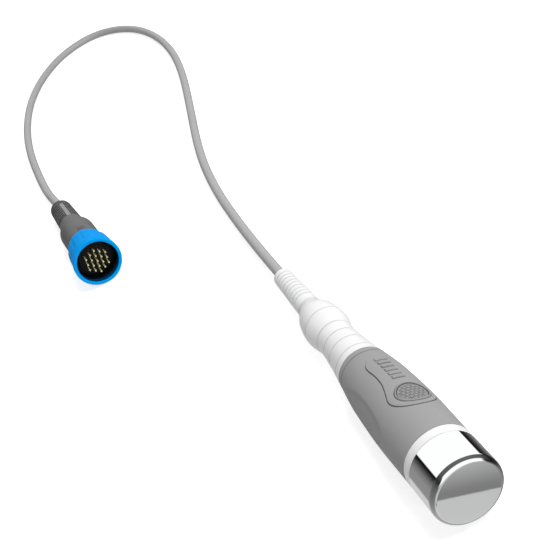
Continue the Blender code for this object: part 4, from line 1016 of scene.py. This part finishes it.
class THERAPY_OT_cable_boot(bpy.types.Operator):
    """Makes the ringed boot where the cable leaves the handle"""
    bl_idname = "therapy_head.cable_boot"
    bl_label = "Cable boot"

    def execute(self, context):
        mesh = make_boot_mesh(handle_axis())
        piece("ringed_boot", mesh, white_plastic(), "root", ["cable_boot"])
        return {"FINISHED"}


class THERAPY_OT_ring(bpy.types.Operator):
    """Makes the blue coupling ring, which turns on the plug"""
    bl_idname = "therapy_head.ring"
    bl_label = "Coupling ring"

    def execute(self, context):
        mesh = make_ring_mesh(plug_axis())
        piece("blue_ring", mesh, ring_blue(), "coupling_ring", ["coupling_ring"])
        return {"FINISHED"}


class THERAPY_OT_contacts(bpy.types.Operator):
    """Makes the plug's black barrel and its contact pins"""
    bl_idname = "therapy_head.contacts"
    bl_label = "Barrel and pins"

    def execute(self, context):
        axis = plug_axis()
        piece("black_barrel", make_barrel_mesh(axis), black_plastic(), "root", ["plug_barrel"])
        piece("gold_pins", make_pins_mesh(axis), gold_plate(), "root", PINS)
        return {"FINISHED"}


class THERAPY_OT_backshell(bpy.types.Operator):
    """Makes the plug's backshell with its marks and its spine"""
    bl_idname = "therapy_head.backshell"
    bl_label = "Backshell"

    def execute(self, context):
        mesh = make_backshell_mesh(plug_axis())
        piece("spined_backshell", mesh, shell_grey(), "root", ["plug_backshell"])
        return {"FINISHED"}


class THERAPY_OT_plug_boot(bpy.types.Operator):
    """Makes the slotted boot behind the backshell"""
    bl_idname = "therapy_head.plug_boot"
    bl_label = "Plug boot"

    def execute(self, context):
        piece("slotted_boot", make_plug_boot_mesh(plug_axis()), boot_dark(), "root", ["plug_boot"])
        return {"FINISHED"}


class THERAPY_OT_cable(bpy.types.Operator):
    """Makes the free cable"""
    bl_idname = "therapy_head.cable"
    bl_label = "Cable"

    def execute(self, context):
        path = cable_path()
        jacket = piece("cable_jacket", make_cable_mesh(path), cable_jacket(), "root", ["cable"])
        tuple(path[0])
        return {"FINISHED"}


class THERAPY_OT_inner_parts(bpy.types.Operator):
    """Gives the parts inside the handle and the plug their finishes"""
    bl_idname = "therapy_head.inner_parts"
    bl_label = "Inner parts"

    def execute(self, context):
        for node, finish in inner_finishes().items():
            finish_mesh(frame["nodes"][node].data, finish)
        return {"FINISHED"}


# The stage

CAMERA_PLACE = (-61.019 * MM, -382.796 * MM, 359.151 * MM)
CAMERA_LENS = 68.57
CAMERA_DOWN = math.radians(34.9608)
CAMERA_ROLL = math.radians(28.1610)
CAMERA_YAW = math.radians(6.2269)
LAMP_PLACE = (0.6, -0.3, 1.3)
LAMP_AIM = (-0.02, 0.2, 0.0)
LAMP_SIDE = 0.8
LAMP_POWER = 17.5
AMBIENT_LIGHT = 0.38
MIRRORED_LIGHT = 1.07
FLOOR_GLOW = 0.68
FLOOR_HALF = 8.0
WHITE = (1.0, 1.0, 1.0, 1.0)

# The table's edge, where its light and dark sides meet: the direction that it lies across, and its width
TABLE_EDGE = (0.3437, -0.6225, 0.7031)
TABLE_EDGE_WIDTH = 0.08


def studio_world():
    """White where the camera looks, and a studio of soft boxes and dark bars where the metal looks.

    The studio is laid in layers: bands round the Y axis, which differ between the far side and the
    rest; a table in front, light and dark on the two sides of its edge; and a window low on the
    left. Other surfaces get an even ambient light.
    """
    world = bpy.data.worlds.new("studio")
    world.use_nodes = True
    finish = Finish(world.node_tree)
    path = finish.add("ShaderNodeLightPath")
    direction = finish.add("ShaderNodeTexCoord")[0]
    x, y, z = finish.add("ShaderNodeSeparateXYZ", None, {0: direction})

    # Round the Y axis 0 and 1 are below, 0.5 is above and 0.75 is the +X side
    turn = finish.maths("ARCTAN2", x, z) * (1 / math.tau) + 0.5
    far = finish.grey(turn, (0.0, 0.58), (0.12, 0.58), (0.136, 0.26), (0.22, 0.25), (0.267, 0.17), (0.294, 0.08),
                      (0.322, 0.012), (0.341, 0.0), (0.346, 1.0), (0.773, 1.0), (0.779, 0.0), (0.8, 0.01),
                      (0.822, 0.035), (0.85, 0.1), (0.878, 0.18), (0.903, 0.25), (0.93, 0.37), (1.0, 0.58))
    near = finish.grey(turn, (0.0, 0.3), (0.03, 0.33), (0.06, 0.38), (0.1, 0.36), (0.13, 0.3), (0.15, 0.26),
                       (0.19, 0.2), (0.25, 0.15), (0.31, 0.1), (0.35, 0.02), (0.42, 0.1), (0.6, 0.13), (0.7, 0.1),
                       (0.77, 0.03), (0.79, 0.01), (0.83, 0.03), (0.86, 0.12), (0.9, 0.19), (0.95, 0.24), (1.0, 0.3))
    height = y - finish.soft(z, 0.1, 0.4) * finish.soft(x, 0.75, -0.2) * 0.12
    studio = finish.blend(finish.soft(height, 0.6, 0.56), far, near)

    table = finish.soft(y, -0.4, -0.6) * finish.soft(z, -0.1, -0.3)
    table = table * finish.soft(x, 0.28, 0.14) * finish.soft(x, -0.65, -0.4)
    across = finish.add("ShaderNodeVectorMath", {"operation": "DOT_PRODUCT"}, {0: direction, 1: TABLE_EDGE})[1]
    sides = finish.grey(across * (1 / TABLE_EDGE_WIDTH) + 0.5, (0.0, 0.60), (0.3, 0.53), (0.498, 0.53),
                        (0.502, 0.19), (0.58, 0.21), (0.68, 0.29), (0.8, 0.38), (1.0, 0.52))
    studio = finish.blend(table, studio, sides)

    window = finish.soft(y, -0.22, -0.4) * finish.soft(x, -0.62, -0.5)
    window = window * finish.soft(z + x * 0.6, -0.4, -0.05) * finish.soft(z - x * 1.2, -1.05, -0.85)
    studio = finish.blend(window, studio, WHITE)

    lit = finish.mix_shaders(path[3], finish.background(WHITE, AMBIENT_LIGHT),
                             finish.background(studio, MIRRORED_LIGHT))
    surface = finish.mix_shaders(path[0], lit, finish.background(WHITE, 1.0))
    finish.add("ShaderNodeOutputWorld", None, {"Surface": surface})
    bpy.context.scene.world = world


def floor_finish():
    """Pale matt floor. For the camera it has a glow of its own under its shadow, and metal sees past it."""
    def build(finish):
        path = finish.add("ShaderNodeLightPath")
        sockets = {"Base Color": (0.82, 0.82, 0.82, 1.0), "Roughness": 0.9, "Specular IOR Level": 0.0,
                   "Normal": finish.bump(finish.noise(1.2 * MM), 0.01 * MM)}
        matt = finish.add("ShaderNodeBsdfPrincipled", None, sockets)[0]
        glow = finish.add("ShaderNodeEmission", None, {"Color": WHITE, "Strength": FLOOR_GLOW})[0]
        glowing = finish.add("ShaderNodeAddShader", None, {0: matt, 1: glow})[0]
        clear = finish.add("ShaderNodeBsdfTransparent")[0]
        return finish.mix_shaders(path[3], finish.mix_shaders(path[0], matt, glowing), clear)
    return material("pale_floor", build)


def add_floor():
    """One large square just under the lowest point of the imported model."""
    corners = np.array([(-1, -1, 0), (1, -1, 0), (1, 1, 0), (-1, 1, 0)]) * FLOOR_HALF
    mesh = bpy.data.meshes.new("floor")
    mesh.from_pydata(corners, [], [(0, 1, 2, 3)])
    mesh.materials.append(floor_finish())
    floor = add_object("floor", mesh)
    floor.location.z = CAD_BOX[0].z - 0.1 * MM


def add_lamp():
    """A large square lamp, which polished metal doesn't mirror."""
    lamp = bpy.data.lights.new("key_lamp", "AREA")
    lamp.size = LAMP_SIDE
    lamp.energy = LAMP_POWER
    holder = add_object("key_lamp", lamp)
    turn = (Vector(LAMP_AIM) - Vector(LAMP_PLACE)).to_track_quat("-Z", "Y").to_matrix().to_4x4()
    holder.matrix_world = Matrix.Translation(LAMP_PLACE) @ turn
    holder.visible_glossy = False


def add_camera():
    """The camera: turned by its yaw from +Y, then down, then by its roll round the line that it looks along."""
    down, roll, yaw = CAMERA_DOWN, CAMERA_ROLL, CAMERA_YAW
    ahead = Vector((math.sin(yaw) * math.cos(down), math.cos(yaw) * math.cos(down), -math.sin(down)))
    level = Vector((math.cos(yaw), -math.sin(yaw), 0.0))
    lower = ahead.cross(level)
    right = math.cos(roll) * level + math.sin(roll) * lower
    below = math.cos(roll) * lower - math.sin(roll) * level
    lens = bpy.data.cameras.new("camera")
    lens.lens = CAMERA_LENS
    lens.sensor_width = 36.0
    lens.clip_start = 0.01
    lens.clip_end = 50.0
    camera = add_object("camera", lens)
    turn = Matrix((right, -below, -ahead)).transposed().to_4x4()
    camera.matrix_world = Matrix.Translation(CAMERA_PLACE) @ turn
    bpy.context.scene.camera = camera


class THERAPY_OT_stage(bpy.types.Operator):
    """Makes the floor, the world, the lamp and the camera"""
    bl_idname = "therapy_head.stage"
    bl_label = "Stage"

    def execute(self, context):
        add_floor()
        studio_world()
        add_lamp()
        add_camera()
        context.scene.view_settings.view_transform = "Standard"
        return {"FINISHED"}


OPERATORS = (THERAPY_OT_metal_cap, THERAPY_OT_collar, THERAPY_OT_sleeve, THERAPY_OT_housing, THERAPY_OT_cable_boot,
             THERAPY_OT_ring, THERAPY_OT_contacts, THERAPY_OT_backshell, THERAPY_OT_plug_boot, THERAPY_OT_cable,
             THERAPY_OT_inner_parts, THERAPY_OT_stage)


class THERAPY_PT_panel(bpy.types.Panel):
    """Lists the sizes, the colours and what builds each piece"""
    bl_idname = "THERAPY_PT_panel"
    bl_label = "Therapy head"
    bl_space_type = "VIEW_3D"
    bl_region_type = "UI"
    bl_category = "Therapy head"

    def draw(self, context):
        column = self.layout.column()
        for group in (context.scene.therapy_head, context.scene.therapy_plug, context.scene.therapy_colours):
            for name in group.bl_rna.properties.keys():
                if name not in ("name", "rna_type"):
                    column.prop(group, name)
        for operator in OPERATORS:
            column.operator(operator.bl_idname)


CLASSES = (TherapyHeadSizes, TherapyPlugSizes, TherapyHeadColours, *OPERATORS, THERAPY_PT_panel)


def register():
    for cls in CLASSES:
        bpy.utils.register_class(cls)
    bpy.types.Scene.therapy_head = PointerProperty(type=TherapyHeadSizes)
    bpy.types.Scene.therapy_plug = PointerProperty(type=TherapyPlugSizes)
    bpy.types.Scene.therapy_colours = PointerProperty(type=TherapyHeadColours)


def unregister():
    del bpy.types.Scene.therapy_colours
    del bpy.types.Scene.therapy_plug
    del bpy.types.Scene.therapy_head
    for cls in reversed(CLASSES):
        bpy.utils.unregister_class(cls)


def main():
    register()
    bpy.ops.therapy_head.metal_cap()
    bpy.ops.therapy_head.collar()
    bpy.ops.therapy_head.sleeve()
    bpy.ops.therapy_head.housing()
    bpy.ops.therapy_head.cable_boot()
    bpy.ops.therapy_head.ring()
    bpy.ops.therapy_head.contacts()
    bpy.ops.therapy_head.backshell()
    bpy.ops.therapy_head.plug_boot()
    bpy.ops.therapy_head.cable()
    bpy.ops.therapy_head.inner_parts()
    bpy.ops.therapy_head.stage()


if __name__ == "__main__":
    main()
